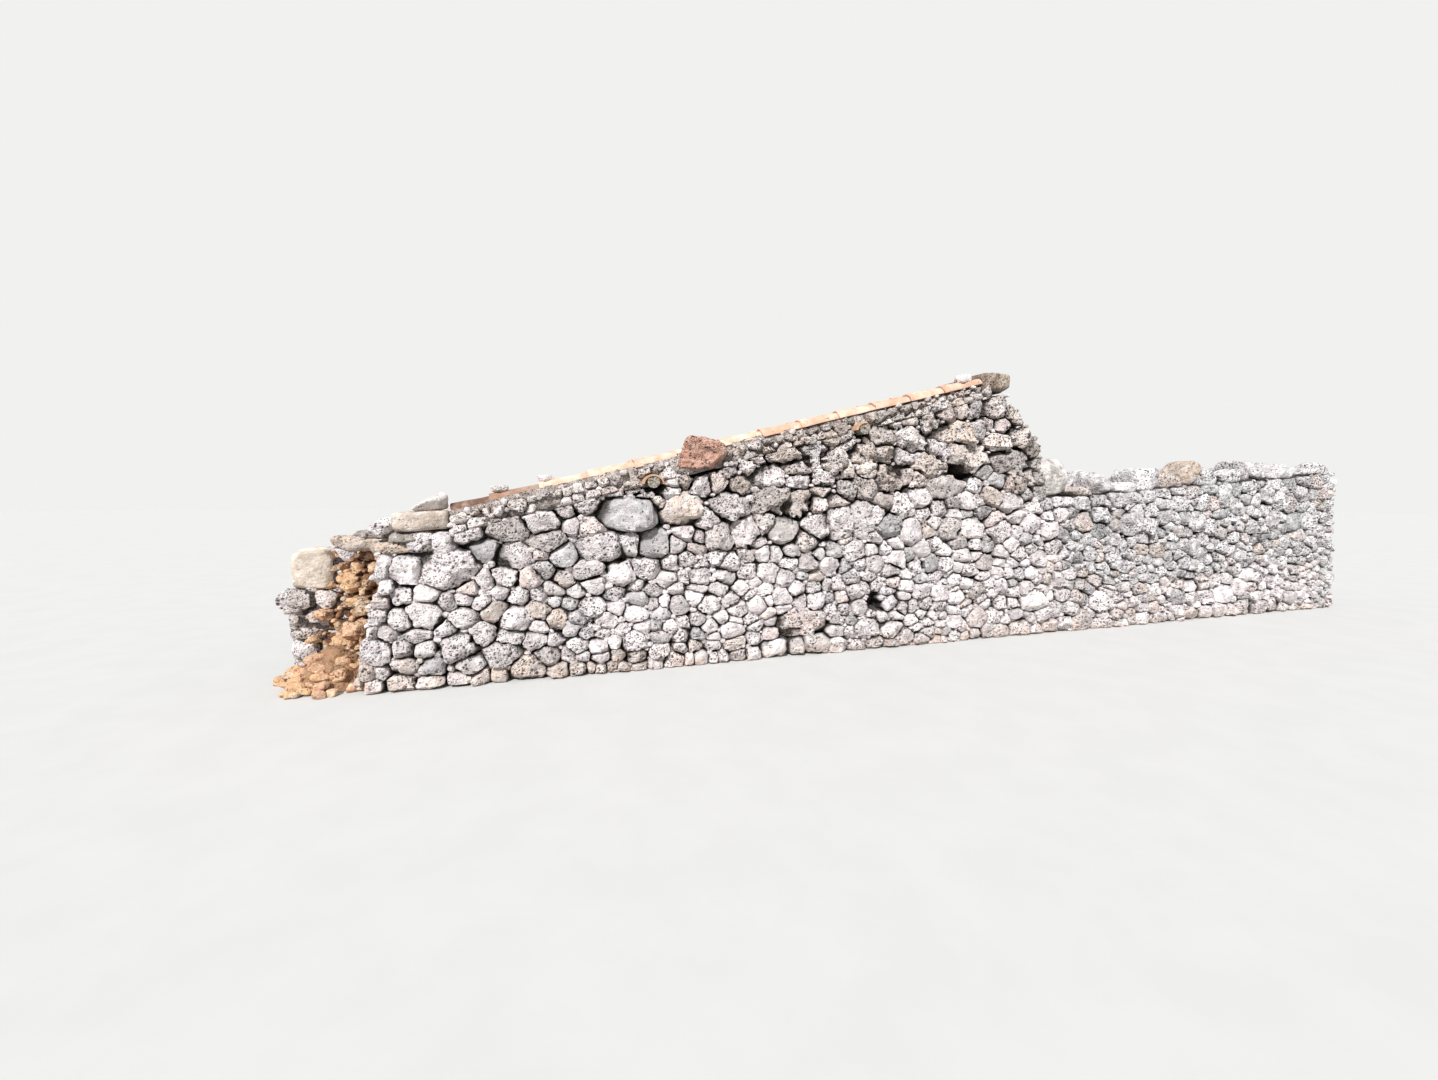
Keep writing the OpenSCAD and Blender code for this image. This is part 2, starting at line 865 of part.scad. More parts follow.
// Footing height at the plain end, cut out of the skins there
module front_section_below_footing() {
  n = ceil((wall_right - footing_start) / footing_run);
  h = n * footing_rise;
  intersection() {
    union() { front_section(); back_section(); }
    translate([-over, -over]) square([base_thick + 2 * over, h + over]);
  }
}

// Cope stones of one bay: a front and a back row, of unlike lengths that fill the bay
module field_cope(bay) {
  first = (bay - 1) * bay_length / cos(field_rise);
  total = (bay == bays ? bay_length + end_length : bay_length) / cos(field_rise) - 2;
  count = bay == bays ? cope_per_bay + 1 : cope_per_bay;
  z = field_point(first, 0)[1];
  depth = (back_at(z) - front_at(z)) / 2 - 16;
  color(limestone)
    on_field_top(first)
      for (side = [0, 1]) {
        r = rands(0.75, 1.3, count, 60 + 7 * bay + side);
        h = rands(0.72, 1.12, count, 90 + 5 * bay + side);
        sum_r = r * [for (i = [0:count - 1]) 1];
        for (i = [0:count - 1]) {
          w = total * r[i] / sum_r;
          before = i == 0 ? 0 : [for (k = [0:i - 1]) r[k]] * [for (k = [0:i - 1]) 1];
          if (!(bay == leaning_bay && side == 0 && i == leaning_place))
            translate([
              total * before / sum_r + w / 2 + 1,
              mid + (side == 0 ? -1 : 1) * (depth / 2 + 3), 0
            ])
              rough_stone([w - 4, depth, cope_height * h[i]], 100 + 20 * bay + 10 * side + i, 8);
        }
      }
}
leaning_bay = 2;
leaning_place = 1;

module field_cope_1() { field_cope(1); }
module field_cope_2() { field_cope(2); }
module field_cope_3() { field_cope(3); }

// Big slab leaning over on the field wall's top
module leaning_stone() {
  count = cope_per_bay;
  first = (leaning_bay - 1) * bay_length / cos(field_rise);
  total = bay_length / cos(field_rise) - 2;
  r = rands(0.75, 1.3, count, 60 + 7 * leaning_bay);
  sum_r = r * [for (i = [0:count - 1]) 1];
  before = [for (k = [0:leaning_place - 1]) r[k]] * [for (k = [0:leaning_place - 1]) 1];
  w = total * r[leaning_place] / sum_r - 6;
  depth = (back_at(field_height) - front_at(field_height)) / 2 - 24;
  color(grey_stone)
    on_field_top(first + total * before / sum_r + w / 2 + 3)
      intersection() {
        translate([0, mid - depth / 2 - 3, -60])
          rotate([0, -24, 0])
            rough_stone([w * 1.05, depth, 1.45 * cope_height], 77, 7);
        translate([-w / 2, -over, 0]) cube([w, base_thick, 2 * cope_height]);
      }
}

module field_front_1() { field_front(1); }
module field_front_2() { field_front(2); }
module field_front_3() { field_front(3); }
module field_back_1() { field_back(1); }
module field_back_2() { field_back(2); }
module field_back_3() { field_back(3); }

translate([-centre_at, -mid, 0]) {
  front_footing();
  back_footing();
  front_face_left();
  front_face_middle();
  front_face_right();
  back_face_left();
  back_face_middle();
  back_face_right();
  hearting_left();
  hearting_middle();
  hearting_right();
  exposed_hearting();
  spilled_rubble();
  end_block();
  end_slabs();
  kerb_stones();
  mortar_bed();
  front_cover_tiles();
  middle_cover_tiles();
  back_cover_tiles();
  front_channel_tiles();
  back_channel_tiles();
  broken_tiles();
  ridge_block();
  ballast_stones();
  red_boulder();
  left_log();
  right_log();
  left_log_tile();
  right_log_tile();
  stepped_end();
  junction_stones();
  field_front_1();
  field_front_2();
  field_front_3();
  field_back_1();
  field_back_2();
  field_back_3();
  field_hearting();
  field_cope_1();
  field_cope_2();
  field_cope_3();
  leaning_stone();
  field_end();
}
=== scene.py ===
"""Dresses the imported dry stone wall: every stone, tile, log and finish, and a plain studio."""
import logging
import math
from collections.abc import Callable, Iterator
from contextlib import contextmanager
from dataclasses import dataclass, field
from enum import Enum
from functools import lru_cache

import bpy
import numpy as np
from mathutils import Euler, Matrix, Vector


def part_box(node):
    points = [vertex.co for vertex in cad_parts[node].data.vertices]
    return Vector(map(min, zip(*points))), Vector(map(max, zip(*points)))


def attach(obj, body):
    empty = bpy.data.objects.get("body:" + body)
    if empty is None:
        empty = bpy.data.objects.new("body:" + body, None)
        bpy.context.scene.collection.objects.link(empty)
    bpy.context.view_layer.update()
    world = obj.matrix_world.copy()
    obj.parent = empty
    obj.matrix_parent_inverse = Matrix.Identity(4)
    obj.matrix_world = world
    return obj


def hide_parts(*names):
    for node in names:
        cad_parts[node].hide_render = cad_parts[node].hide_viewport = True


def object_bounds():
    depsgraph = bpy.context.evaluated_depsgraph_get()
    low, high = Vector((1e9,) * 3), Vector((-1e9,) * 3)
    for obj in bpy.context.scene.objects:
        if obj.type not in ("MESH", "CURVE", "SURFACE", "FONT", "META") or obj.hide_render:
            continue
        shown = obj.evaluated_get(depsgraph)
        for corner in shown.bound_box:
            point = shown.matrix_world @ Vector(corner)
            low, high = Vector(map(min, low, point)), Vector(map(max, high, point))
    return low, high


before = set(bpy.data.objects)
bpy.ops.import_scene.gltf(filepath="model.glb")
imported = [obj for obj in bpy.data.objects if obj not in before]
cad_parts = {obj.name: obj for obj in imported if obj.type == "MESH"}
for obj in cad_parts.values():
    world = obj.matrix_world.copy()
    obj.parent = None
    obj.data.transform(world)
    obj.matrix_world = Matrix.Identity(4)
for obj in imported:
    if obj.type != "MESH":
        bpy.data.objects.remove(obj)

cad_low, cad_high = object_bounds()

logging.basicConfig(level=logging.INFO, format="%(message)s")
log = logging.getLogger("wall")

Colour = tuple[float, float, float, float]
Fence = tuple[float, float, float]
Point2 = tuple[float, float]
Point3 = tuple[float, float, float]
Piece = bpy.types.Object
Socket = bpy.types.NodeSocket
Tree = bpy.types.NodeTree
Material = bpy.types.Material
Draws = np.random.Generator
Rows = np.ndarray


def paint(red: int, green: int, blue: int) -> Colour:
    """Turns a colour as painted, 0 to 255, into the linear colour of a socket.

    Args:
        red: Red as painted.
        green: Green as painted.
        blue: Blue as painted.

    Returns:
        The linear colour with full alpha.
    """
    def linear(value: int) -> float:
        """Undoes the display curve of one channel."""
        share = value / 255.0
        return share / 12.92 if share <= 0.04045 else ((share + 0.055) / 1.055) ** 2.4
    return (linear(red), linear(green), linear(blue), 1.0)


def ease(value: float, low: float, high: float) -> float:
    """Rises smoothly from 0 at low to 1 at high."""
    share = min(1.0, max(0.0, (value - low) / (high - low)))
    return share * share * (3.0 - 2.0 * share)


def always(value: float) -> Callable[..., float]:
    """Gives a function that answers with one value whatever it is asked."""
    return lambda *asked: value


def box_fences(left: float, right: float, low: float, high: float) -> list[Fence]:
    """Fences a seed in between two places and two heights."""
    return [(0.0, -1.0, -low), (0.0, 1.0, high), (-1.0, 0.0, -left), (1.0, 0.0, right)]


def value_noise(points: Rows, seed: int) -> Rows:
    """Gives smooth noise at points in lattice units.

    Args:
        points: Rows of x, y, z.
        seed: Picks one noise field.

    Returns:
        One value between -1 and 1 for each row.
    """
    cell = np.floor(points)
    step = points - cell
    curve = step * step * (3.0 - 2.0 * step)
    corner = cell.astype(np.int64)
    total = np.zeros(len(points))
    for dx in (0, 1):
        for dy in (0, 1):
            for dz in (0, 1):
                key = (corner[:, 0] + dx) * 73856093 ^ (corner[:, 1] + dy) * 19349663
                key = key ^ (corner[:, 2] + dz) * 83492791 ^ (seed + 1) * 26544357
                key = ((key ^ (key >> 13)) * 1274126177) & 0x7FFFFFFF
                key = (key ^ (key >> 15)) & 0xFFFF
                weight = (
                    np.where(dx, curve[:, 0], 1.0 - curve[:, 0])
                    * np.where(dy, curve[:, 1], 1.0 - curve[:, 1])
                    * np.where(dz, curve[:, 2], 1.0 - curve[:, 2])
                )
                total += weight * key
    return total / 32767.5 - 1.0


@dataclass(frozen=True)
class WallForm:
    """Sizes of the wall in metres. Places along it start at the front skin's broken end."""

    centre: float = 4.990
    thick: float = 0.950
    lean: float = 0.060
    skin: float = 0.250
    left: float = -0.700
    exposed_left: float = -0.590
    shoulder: float = 1.000
    shoulder_start: float = 0.170
    slab_top: float = 1.160
    block_left: float = -0.640
    block_right: float = -0.330
    block_seat: float = 0.680
    kerb_left: float = 0.248
    kerb_right: float = 0.618
    kerb_depth: float = 0.270
    kerb_height: float = 0.150
    rake: float = math.radians(14.16)
    plane_start: float = 0.543
    plane_height: float = 1.270
    bed_thick: float = 0.062
    bed_start: float = 0.090
    bed_stop: float = 4.996
    bed_width: float = 0.660
    row_pitch: float = 0.235
    exposure: float = 0.378
    tile_length: float = 0.460
    tile_wide: float = 0.090
    tile_narrow: float = 0.068
    clay: float = 0.013
    cover_sink: float = 0.015
    channel_lift: float = 0.035
    ridge_stop: float = 5.702
    steps_stop: float = 6.132
    steps_top: float = 2.392
    steps_foot: float = 1.850
    field_start: float = 6.480
    field_stop: float = 10.380
    right: float = 10.680
    bay: float = 1.300
    field_height: float = 1.395
    field_rise: float = math.radians(3.65)
    footing_start: float = 0.900
    footing_run: float = 2.000
    footing_rise: float = 0.115
    main_pitch: float = 0.330
    main_rise: float = 0.290
    main_foot: float = 0.500
    log_places: tuple[float, float] = (2.140, 4.050)
    log_radius: float = 0.053
    log_cover: float = 0.008

    @property
    def gap_tile_run(self) -> Point2:
        """Stretch of the rake where the front row's tile is missing and the boulder stands."""
        return 5 * self.exposure, 6 * self.exposure

    @property
    def mid(self) -> float:
        """Middle of the wall, measured from its front base line."""
        return self.thick / 2.0

    def model(self, s: float, y: float, z: float) -> Vector:
        """Turns a place along, across and up the wall into the model's frame."""
        return Vector((s - self.centre, y - self.mid, z))

    def rake_point(self, u: float, w: float) -> Point2:
        """Gives the place and height of a point u along the tile plane and w above it.

        Args:
            u: Place along the tile plane.
            w: Height above it.

        Returns:
            Place along the wall and height.
        """
        return (
            self.plane_start + u * math.cos(self.rake) - w * math.sin(self.rake),
            self.plane_height + u * math.sin(self.rake) + w * math.cos(self.rake),
        )

    def on_rake(self) -> Matrix:
        """Places a piece drawn in the tile plane's frame."""
        seat = self.model(self.plane_start, self.mid, self.plane_height)
        return Matrix.Translation(seat) @ Matrix.Rotation(-self.rake, 4, "Y")

    def bed_under(self, s: float) -> float:
        """Height of the mortar bed's underside."""
        rise = (s - self.plane_start) * math.tan(self.rake)
        return self.plane_height + rise - self.bed_thick / math.cos(self.rake)

    def field_top(self, s: float) -> float:
        """Height of the field wall's masonry."""
        return self.field_height + (s - self.field_start) * math.tan(self.field_rise)

    def footing_top(self, s: float) -> float:
        """Height of the level footing at a place.

        Args:
            s: Place along the wall, from its left end.

        Returns:
            The height.
        """
        if s < self.footing_start:
            return 0.0
        return self.footing_rise * (1 + math.floor((s - self.footing_start) / self.footing_run))

    def ground(self, s: float) -> float:
        """Height of the rising ground line that the courses follow."""
        return max(0.0, s - self.footing_start) * self.footing_rise / self.footing_run

    def face_top(self, s: float) -> float:
        """Height of the face stones' top edge at a place.

        Args:
            s: Place along the wall, from its left end.

        Returns:
            The height.
        """
        if s < self.rake_point(self.bed_start, 0.0)[0]:
            return self.shoulder
        if s < self.ridge_stop:
            return min(self.bed_under(s), self.bed_under(self.rake_point(self.bed_stop, 0.0)[0]))
        if s < self.steps_stop:
            share = (s - self.ridge_stop) / (self.steps_stop - self.ridge_stop)
            return self.steps_top + (self.steps_foot - self.steps_top) * share
        if s < self.field_start:
            return self.field_height
        return self.field_top(s)

    def main_stones(self) -> Iterator[tuple[float, float, float, float]]:
        """Gives the place, height, width and tallness of the main face stones, as the solids have them.

        Yields:
            Each stone's place, height, width and tallness.
        """
        for k in range(7):
            for i in range(32):
                s = self.main_pitch * (i + 0.5 * (k % 2) + 0.17 * math.sin(math.radians(211 * i + 97 * k)))
                z = self.main_foot + self.main_rise * (k + 0.15 * math.sin(math.radians(157 * i + 263 * k)))
                share = 0.58 if z < self.shoulder else 0.8
                wide, tall = self.main_pitch * share, self.main_rise * share
                left, right = s - wide / 2, s + wide / 2
                inside = self.shoulder_start + 0.02 < left and right < self.field_stop
                clear = z - tall / 2 > self.footing_top(right) and all(
                    abs(s - at) > wide / 2 for at in (
                        self.field_start, self.field_start + self.bay, self.field_stop - self.bay,
                    )
                )
                if inside and clear and z + tall / 2 + 0.02 < min(self.face_top(left), self.face_top(right)):
                    yield s, z, wide, tall

    def arch_height(self, s: float) -> float:
        """Height of the axis of the half-barrel tile over a log."""
        return self.bed_under(s) - (self.tile_wide + self.log_cover) / math.cos(self.rake)

    def log_height(self, s: float) -> float:
        """Height of a log's axis."""
        return self.arch_height(s) + self.tile_wide - self.clay - self.log_radius - 0.0003


class StoneKind(Enum):
    """What a stone looks like: shares of grey, tan and pink in it, and how dark it is."""

    PALE = (0.0, 0.0, 0.1, 0.0)
    GREY = (0.85, 0.0, 0.0, 0.3)
    TAN = (0.0, 0.8, 0.1, 0.05)
    PINK = (0.0, 0.1, 0.85, 0.0)
    DARK = (0.35, 0.3, 0.1, 0.7)
    WHITE = (0.0, 0.0, 0.0, -0.4)
    OCHRE = (0.0, 1.0, 0.0, 0.15)


class NodeBoard:
    """Wires one node tree."""

    def __init__(self, tree: Tree) -> None:
        """Starts on a node tree."""
        self.tree = tree

    def add(self, kind: str, settings: dict | None = None, inputs: dict | None = None) -> bpy.types.Node:
        """Adds a node.

        Args:
            kind: The node's type.
            settings: Values for its own properties.
            inputs: Values or sockets for its inputs, by name or number.

        Returns:
            The new node.
        """
        node = self.tree.nodes.new(kind)
        for name, value in (settings or {}).items():
            setattr(node, name, value)
        for name, value in (inputs or {}).items():
            self.feed(node.inputs[name], value)
        return node

    def feed(self, socket: Socket, value: object) -> None:
        """Sets a socket to a value, or links another socket to it.

        Args:
            socket: The input socket.
            value: A number, a colour or another node's output.
        """
        if isinstance(value, Socket):
            self.tree.links.new(value, socket)
        else:
            socket.default_value = value

    def math(self, operation: str, first: object, second: object = 0.0, third: object = 0.0,
             clamp: bool = False) -> Socket:
        """Adds a Math node and gives its output."""
        inputs = {0: first, 1: second, 2: third}
        return self.add("ShaderNodeMath", {"operation": operation, "use_clamp": clamp}, inputs).outputs[0]

    def mix(self, share: object, first: object, second: object, blend: str = "MIX") -> Socket:
        """Adds a colour Mix node and gives its output.

        Args:
            share: How much of the second shows.
            first: The lower colour.
            second: The upper colour.
            blend: How they blend.

        Returns:
            The mixed colour.
        """
        node = self.add("ShaderNodeMix", {"data_type": "RGBA", "blend_type": blend, "clamp_factor": True})
        self.feed(node.inputs[0], share)
        self.feed(node.inputs[6], first)
        self.feed(node.inputs[7], second)
        return node.outputs[2]

    def band(
        self, value: object, low: float, high: float, out_low: float = 0.0, out_high: float = 1.0,
    ) -> Socket:
        """Maps a value smoothly from one range to another.

        Args:
            value: The value to map.
            low: Start of its range.
            high: End of its range.
            out_low: What the start becomes.
            out_high: What the end becomes.

        Returns:
            The mapped value.
        """
        node = self.add(
            "ShaderNodeMapRange", {"interpolation_type": "SMOOTHSTEP", "clamp": True}, {"Value": value},
        )
        for name, number in (
            ("From Min", low), ("From Max", high), ("To Min", out_low), ("To Max", out_high),
        ):
            node.inputs[name].default_value = number
        return node.outputs[0]

    def noise(self, place: object, scale: float, detail: float = 3.0, rough: float = 0.55) -> Socket:
        """Adds a Noise Texture and gives its value."""
        inputs = {"Vector": place, "Scale": scale, "Detail": detail, "Roughness": rough}
        return self.add("ShaderNodeTexNoise", {}, inputs).outputs[0]

    def cells(self, place: object, scale: object, feature: str = "F1") -> Socket:
        """Adds a Voronoi Texture and gives its distance.

        Args:
            place: Where the point lies in the pattern.
            scale: How many cells to a metre.
            feature: What is measured.

        Returns:
            The distance.
        """
        return self.add(
            "ShaderNodeTexVoronoi", {"feature": feature}, {"Vector": place, "Scale": scale},
        ).outputs["Distance"]

    def value(self, name: str) -> Socket:
        """Reads one of the mesh's own values."""
        node = self.add("ShaderNodeAttribute", {"attribute_type": "GEOMETRY", "attribute_name": name})
        return node.outputs["Fac"]

    def place(self) -> Socket:
        """Reads the point's place on the object."""
        return self.add("ShaderNodeTexCoord").outputs["Object"]

    def stone_place(self) -> Socket:
        """Reads the point's place, shifted for each stone so that no pattern runs on into the next.

        Returns:
            The shifted place.
        """
        shift = self.math("MULTIPLY", self.value("cast"), 37.0)
        joined = self.add("ShaderNodeCombineXYZ", {}, {0: shift, 1: shift, 2: shift}).outputs[0]
        return self.add("ShaderNodeVectorMath", {"operation": "ADD"}, {0: self.place(), 1: joined}).outputs[0]


class EffectShelf:
    """Keeps the shader groups that several finishes use, each built once."""

    @staticmethod
    def _start(name: str, inputs: dict[str, tuple[str, float]], outputs: list[str]) -> Tree:
        """Makes an empty group with its sockets.

        Args:
            name: Its name.
            inputs: Its input sockets.
            outputs: The names of its outputs.

        Returns:
            The group's tree.
        """
        tree = bpy.data.node_groups.new(name, "ShaderNodeTree")
        for label, (kind, value) in inputs.items():
            socket = tree.interface.new_socket(label, in_out="INPUT", socket_type=kind)
            if kind == "NodeSocketFloat":
                socket.default_value = value
        for label in outputs:
            tree.interface.new_socket(label, in_out="OUTPUT", socket_type="NodeSocketFloat")
        return tree

    @staticmethod
    @lru_cache(maxsize=None)
    def pitting() -> Tree:
        """Pits and grain of weathered limestone: outputs Pits, Grain and Height.

        Returns:
            The group's tree.
        """
        inputs = {
            "Vector": ("NodeSocketVector", 0.0),
            "Scale": ("NodeSocketFloat", 30.0),
            "Spread": ("NodeSocketFloat", 0.5),
        }
        tree = EffectShelf._start("pitting", inputs, ["Pits", "Grain", "Height"])
        board = NodeBoard(tree)
        entry = board.add("NodeGroupInput")
        place, scale, spread = entry.outputs[0], entry.outputs[1], entry.outputs[2]
        warp = board.add("ShaderNodeTexNoise", {}, {"Vector": place, "Scale": 30.0, "Detail": 2.0})
        pulled = board.add(
            "ShaderNodeVectorMath", {"operation": "SCALE"}, {0: warp.outputs["Color"], "Scale": 0.028},
        )
        bent = board.add(
            "ShaderNodeVectorMath", {"operation": "ADD"}, {0: place, 1: pulled.outputs[0]},
        ).outputs[0]
        pits, dents = 0.0, 0.0
        for finer, gate_scale, low in ((1.0, 13.0, 0.97), (2.3, 19.0, 0.98)):
            distance = board.cells(bent, board.math("MULTIPLY", scale, finer))
            near = board.math(
                "SUBTRACT", board.noise(place, gate_scale, 2.0, 0.6), board.math("SUBTRACT", low, spread),
            )
            gate = board.math("MULTIPLY", near, 7.0, clamp=True)
            pits = board.math("MAXIMUM", pits, board.math("MULTIPLY", board.band(distance, 0.33, 0.17), gate))
            dents = board.math(
                "MAXIMUM", dents, board.math("MULTIPLY", board.band(distance, 0.50, 0.10), gate),
            )
        grain = board.noise(bent, 48.0, 5.0, 0.72)
        swell = board.noise(place, 17.0, 4.0, 0.6)
        height = board.math(
            "SUBTRACT", board.math("MULTIPLY_ADD", swell, 2.3, board.math("MULTIPLY", grain, 0.9)), dents,
        )
        leave = board.add("NodeGroupOutput")
        for label, socket in (("Pits", pits), ("Grain", grain), ("Height", height)):
            board.feed(leave.inputs[label], socket)
        return tree

    @staticmethod
    @lru_cache(maxsize=None)
    def crust() -> Tree:
        """Lichen crust: output Patches is broad and soft, White is chalky, Specks is fine and dark.

        Returns:
            The group's tree.
        """
        inputs = {"Vector": ("NodeSocketVector", 0.0), "Scale": ("NodeSocketFloat", 10.0)}
        tree = EffectShelf._start("crust", inputs, ["Patches", "White", "Specks"])
        board = NodeBoard(tree)
        entry = board.add("NodeGroupInput")
        place, scale = entry.outputs[0], entry.outputs[1]
        broad = board.noise(place, scale, 4.0, 0.62)
        chalk = board.noise(place, board.math("MULTIPLY", scale, 1.7), 4.0, 0.66)
        fine = board.noise(place, 92.0, 2.0, 0.7)
        gate = board.noise(place, 16.0, 2.0)
        leave = board.add("NodeGroupOutput")
        board.feed(leave.inputs["Patches"], board.band(broad, 0.47, 0.68))
        board.feed(leave.inputs["White"], board.band(chalk, 0.50, 0.66))
        specks = board.math("MULTIPLY", board.band(fine, 0.56, 0.66), board.band(gate, 0.42, 0.62))
        board.feed(leave.inputs["Specks"], specks)
        return tree

class Coat(NodeBoard):
    """A material being mixed: its board, its shader, and what several finishes do alike."""

    def __init__(self, name: str) -> None:
        """Starts a material that holds only its shader."""
        self.material = bpy.data.materials.new(name)
        self.material.use_nodes = True
        self.material.node_tree.nodes.clear()
        super().__init__(self.material.node_tree)
        self.shader = self.add("ShaderNodeBsdfPrincipled", {}, {"Specular IOR Level": 0.25})
        self.add("ShaderNodeOutputMaterial", {}, {0: self.shader.outputs[0]})

    def effect(self, tree: Tree, inputs: dict[str, object]) -> bpy.types.NodeOutputs:
        """Places a shared group and gives its outputs."""
        return self.add("ShaderNodeGroup", {"node_tree": tree}, inputs).outputs

    def pitting(self, place: Socket, scale: object, spread: object) -> bpy.types.NodeOutputs:
        """Places the pitting group."""
        return self.effect(EffectShelf.pitting(), {"Vector": place, "Scale": scale, "Spread": spread})

    def crust(self, place: Socket, scale: float) -> bpy.types.NodeOutputs:
        """Places the crust group."""
        return self.effect(EffectShelf.crust(), {"Vector": place, "Scale": scale})

    def cover(self, mask: Socket, share: float, base: Socket, over: object) -> Socket:
        """Lays a colour over the base by a share of a mask."""
        return self.mix(self.math("MULTIPLY", mask, share), base, over)

    def dim(self, base: Socket, tone: Socket) -> Socket:
        """Brightens or darkens the base by a tone.

        Args:
            base: The colour so far.
            tone: The tone, 1 for no change.

        Returns:
            The toned colour.
        """
        return self.mix(
            1.0, base, self.add("ShaderNodeCombineXYZ", {}, {0: tone, 1: tone, 2: tone}).outputs[0],
            "MULTIPLY",
        )

    def finish(
        self, base: Socket, rough: object, height: Socket, depth: float, strength: float = 1.0,
    ) -> Material:
        """Feeds the shader and hands the material over.

        Args:
            base: Its colour.
            rough: Its roughness.
            height: Its relief.
            depth: How deep the relief is.
            strength: How strongly the relief shows.

        Returns:
            The material.
        """
        bump = self.add("ShaderNodeBump", {}, {"Height": height, "Distance": depth, "Strength": strength})
        for name, value in (("Base Color", base), ("Roughness", rough), ("Normal", bump.outputs[0])):
            self.feed(self.shader.inputs[name], value)
        return self.material


@dataclass(frozen=True)
class StoneFinish:
    """Weathered stone. Each stone's own values choose its tone within the finish."""

    name: str
    pale: Colour
    shade: Colour
    grey: Colour = paint(176, 176, 175)
    tan: Colour = paint(214, 192, 172)
    pink: Colour = paint(228, 206, 196)
    pit: Colour = paint(50, 43, 42)
    lichen: Colour = paint(170, 163, 162)
    chalk: Colour = paint(244, 241, 239)
    # Colour that deep joints darken to: painted shade standing in for the shadow between stones
    shade_and_earth: Colour = paint(44, 36, 32)
    soil: Colour = paint(222, 190, 164)
    pit_scale: float = 27.0
    pit_spread: float = 0.46
    lichen_share: float = 0.42
    chalk_share: float = 0.6
    bump: float = 0.019
    soil_height: float = 0.0

    def tinted(self, board: Coat, place: Socket) -> Socket:
        """Mixes the stone's own colour from clouds and its shares of grey, tan and pink.

        Args:
            board: The material's board.
            place: Where the point lies in the pattern.

        Returns:
            The stone's colour.
        """
        blend = board.add("ShaderNodeAttribute", {"attribute_name": "blend"}).outputs["Vector"]
        split = board.add("ShaderNodeSeparateXYZ", {}, {0: blend})
        base = board.mix(board.band(board.noise(place, 8.0, 5.0, 0.62), 0.36, 0.62), self.shade, self.pale)
        for index, colour in enumerate((self.grey, self.tan, self.pink)):
            worn = board.band(board.noise(place, 12.0 + 4 * index, 3.0), 0.32, 0.6, 0.35, 1.0)
            base = board.cover(split.outputs[index], worn, base, colour)
        return base

    def soiled(self, board: Coat, base: Socket) -> Socket:
        """Stains the foot of the wall with earth.

        Args:
            board: The material's board.
            base: The colour so far.

        Returns:
            The stained colour.
        """
        height = board.add("ShaderNodeSeparateXYZ", {}, {0: board.place()}).outputs[2]
        ragged = board.math("MULTIPLY_ADD", board.noise(board.place(), 4.0, 5.0, 0.66), 0.6, height)
        low = self.soil_height + 0.10
        return board.mix(board.band(ragged, low + 0.22, low, 0.0, 0.5), base, self.soil)

    def make(self) -> Material:
        """Builds the material."""
        coat = Coat(self.name)
        place, cast = coat.stone_place(), coat.value("cast")
        size = coat.math("MULTIPLY_ADD", cast, -0.55 * self.pit_scale, 1.3 * self.pit_scale)
        pitting = coat.pitting(place, size, coat.math("MULTIPLY_ADD", cast, 0.30, self.pit_spread - 0.12))
        crust = coat.crust(place, 11.0)
        base = self.tinted(coat, place)
        if self.soil_height > 0.0:
            base = self.soiled(coat, base)
        base = coat.cover(crust["Patches"], self.lichen_share, base, self.lichen)
        base = coat.cover(crust["White"], self.chalk_share, base, self.chalk)
        tone = coat.band(coat.value("tone"), 0.0, 1.0, 0.78, 1.12)
        base = coat.dim(base, coat.math("MULTIPLY", tone, coat.band(pitting["Grain"], 0.3, 0.62, 0.90, 1.05)))
        base = coat.cover(crust["Specks"], 0.22, base, self.pit)
        base = coat.cover(pitting["Pits"], 0.90, base, self.pit)
        # Painted shade: points deep in a joint are darkened towards the joint colour, standing in for the
        # shadow between stones
        base = coat.mix(coat.band(coat.value("shade_and_earth_share"), 0.0, 0.8, 0.0, 0.93), base, self.shade_and_earth)
        return coat.finish(
            base, coat.band(pitting["Grain"], 0.2, 0.8, 0.84, 0.98), pitting["Height"], self.bump,
        )


@dataclass(frozen=True)
class EarthFinish:
    """Packed earth and rubble inside the wall."""

    name: str
    light: Colour = paint(186, 134, 92)
    dark: Colour = paint(92, 60, 40)

    def make(self) -> Material:
        """Builds the material."""
        coat = Coat(self.name)
        place = coat.place()
        crumbs, lumps = coat.cells(place, 26.0), coat.noise(place, 9.0, 6.0, 0.7)
        base = coat.mix(coat.band(lumps, 0.35, 0.68), self.dark, self.light)
        base = coat.mix(coat.band(crumbs, 0.1, 0.5), coat.mix(0.35, base, self.light), base)
        return coat.finish(base, 0.97, coat.math("SUBTRACT", coat.math("MULTIPLY", lumps, 1.2), crumbs), 0.02)


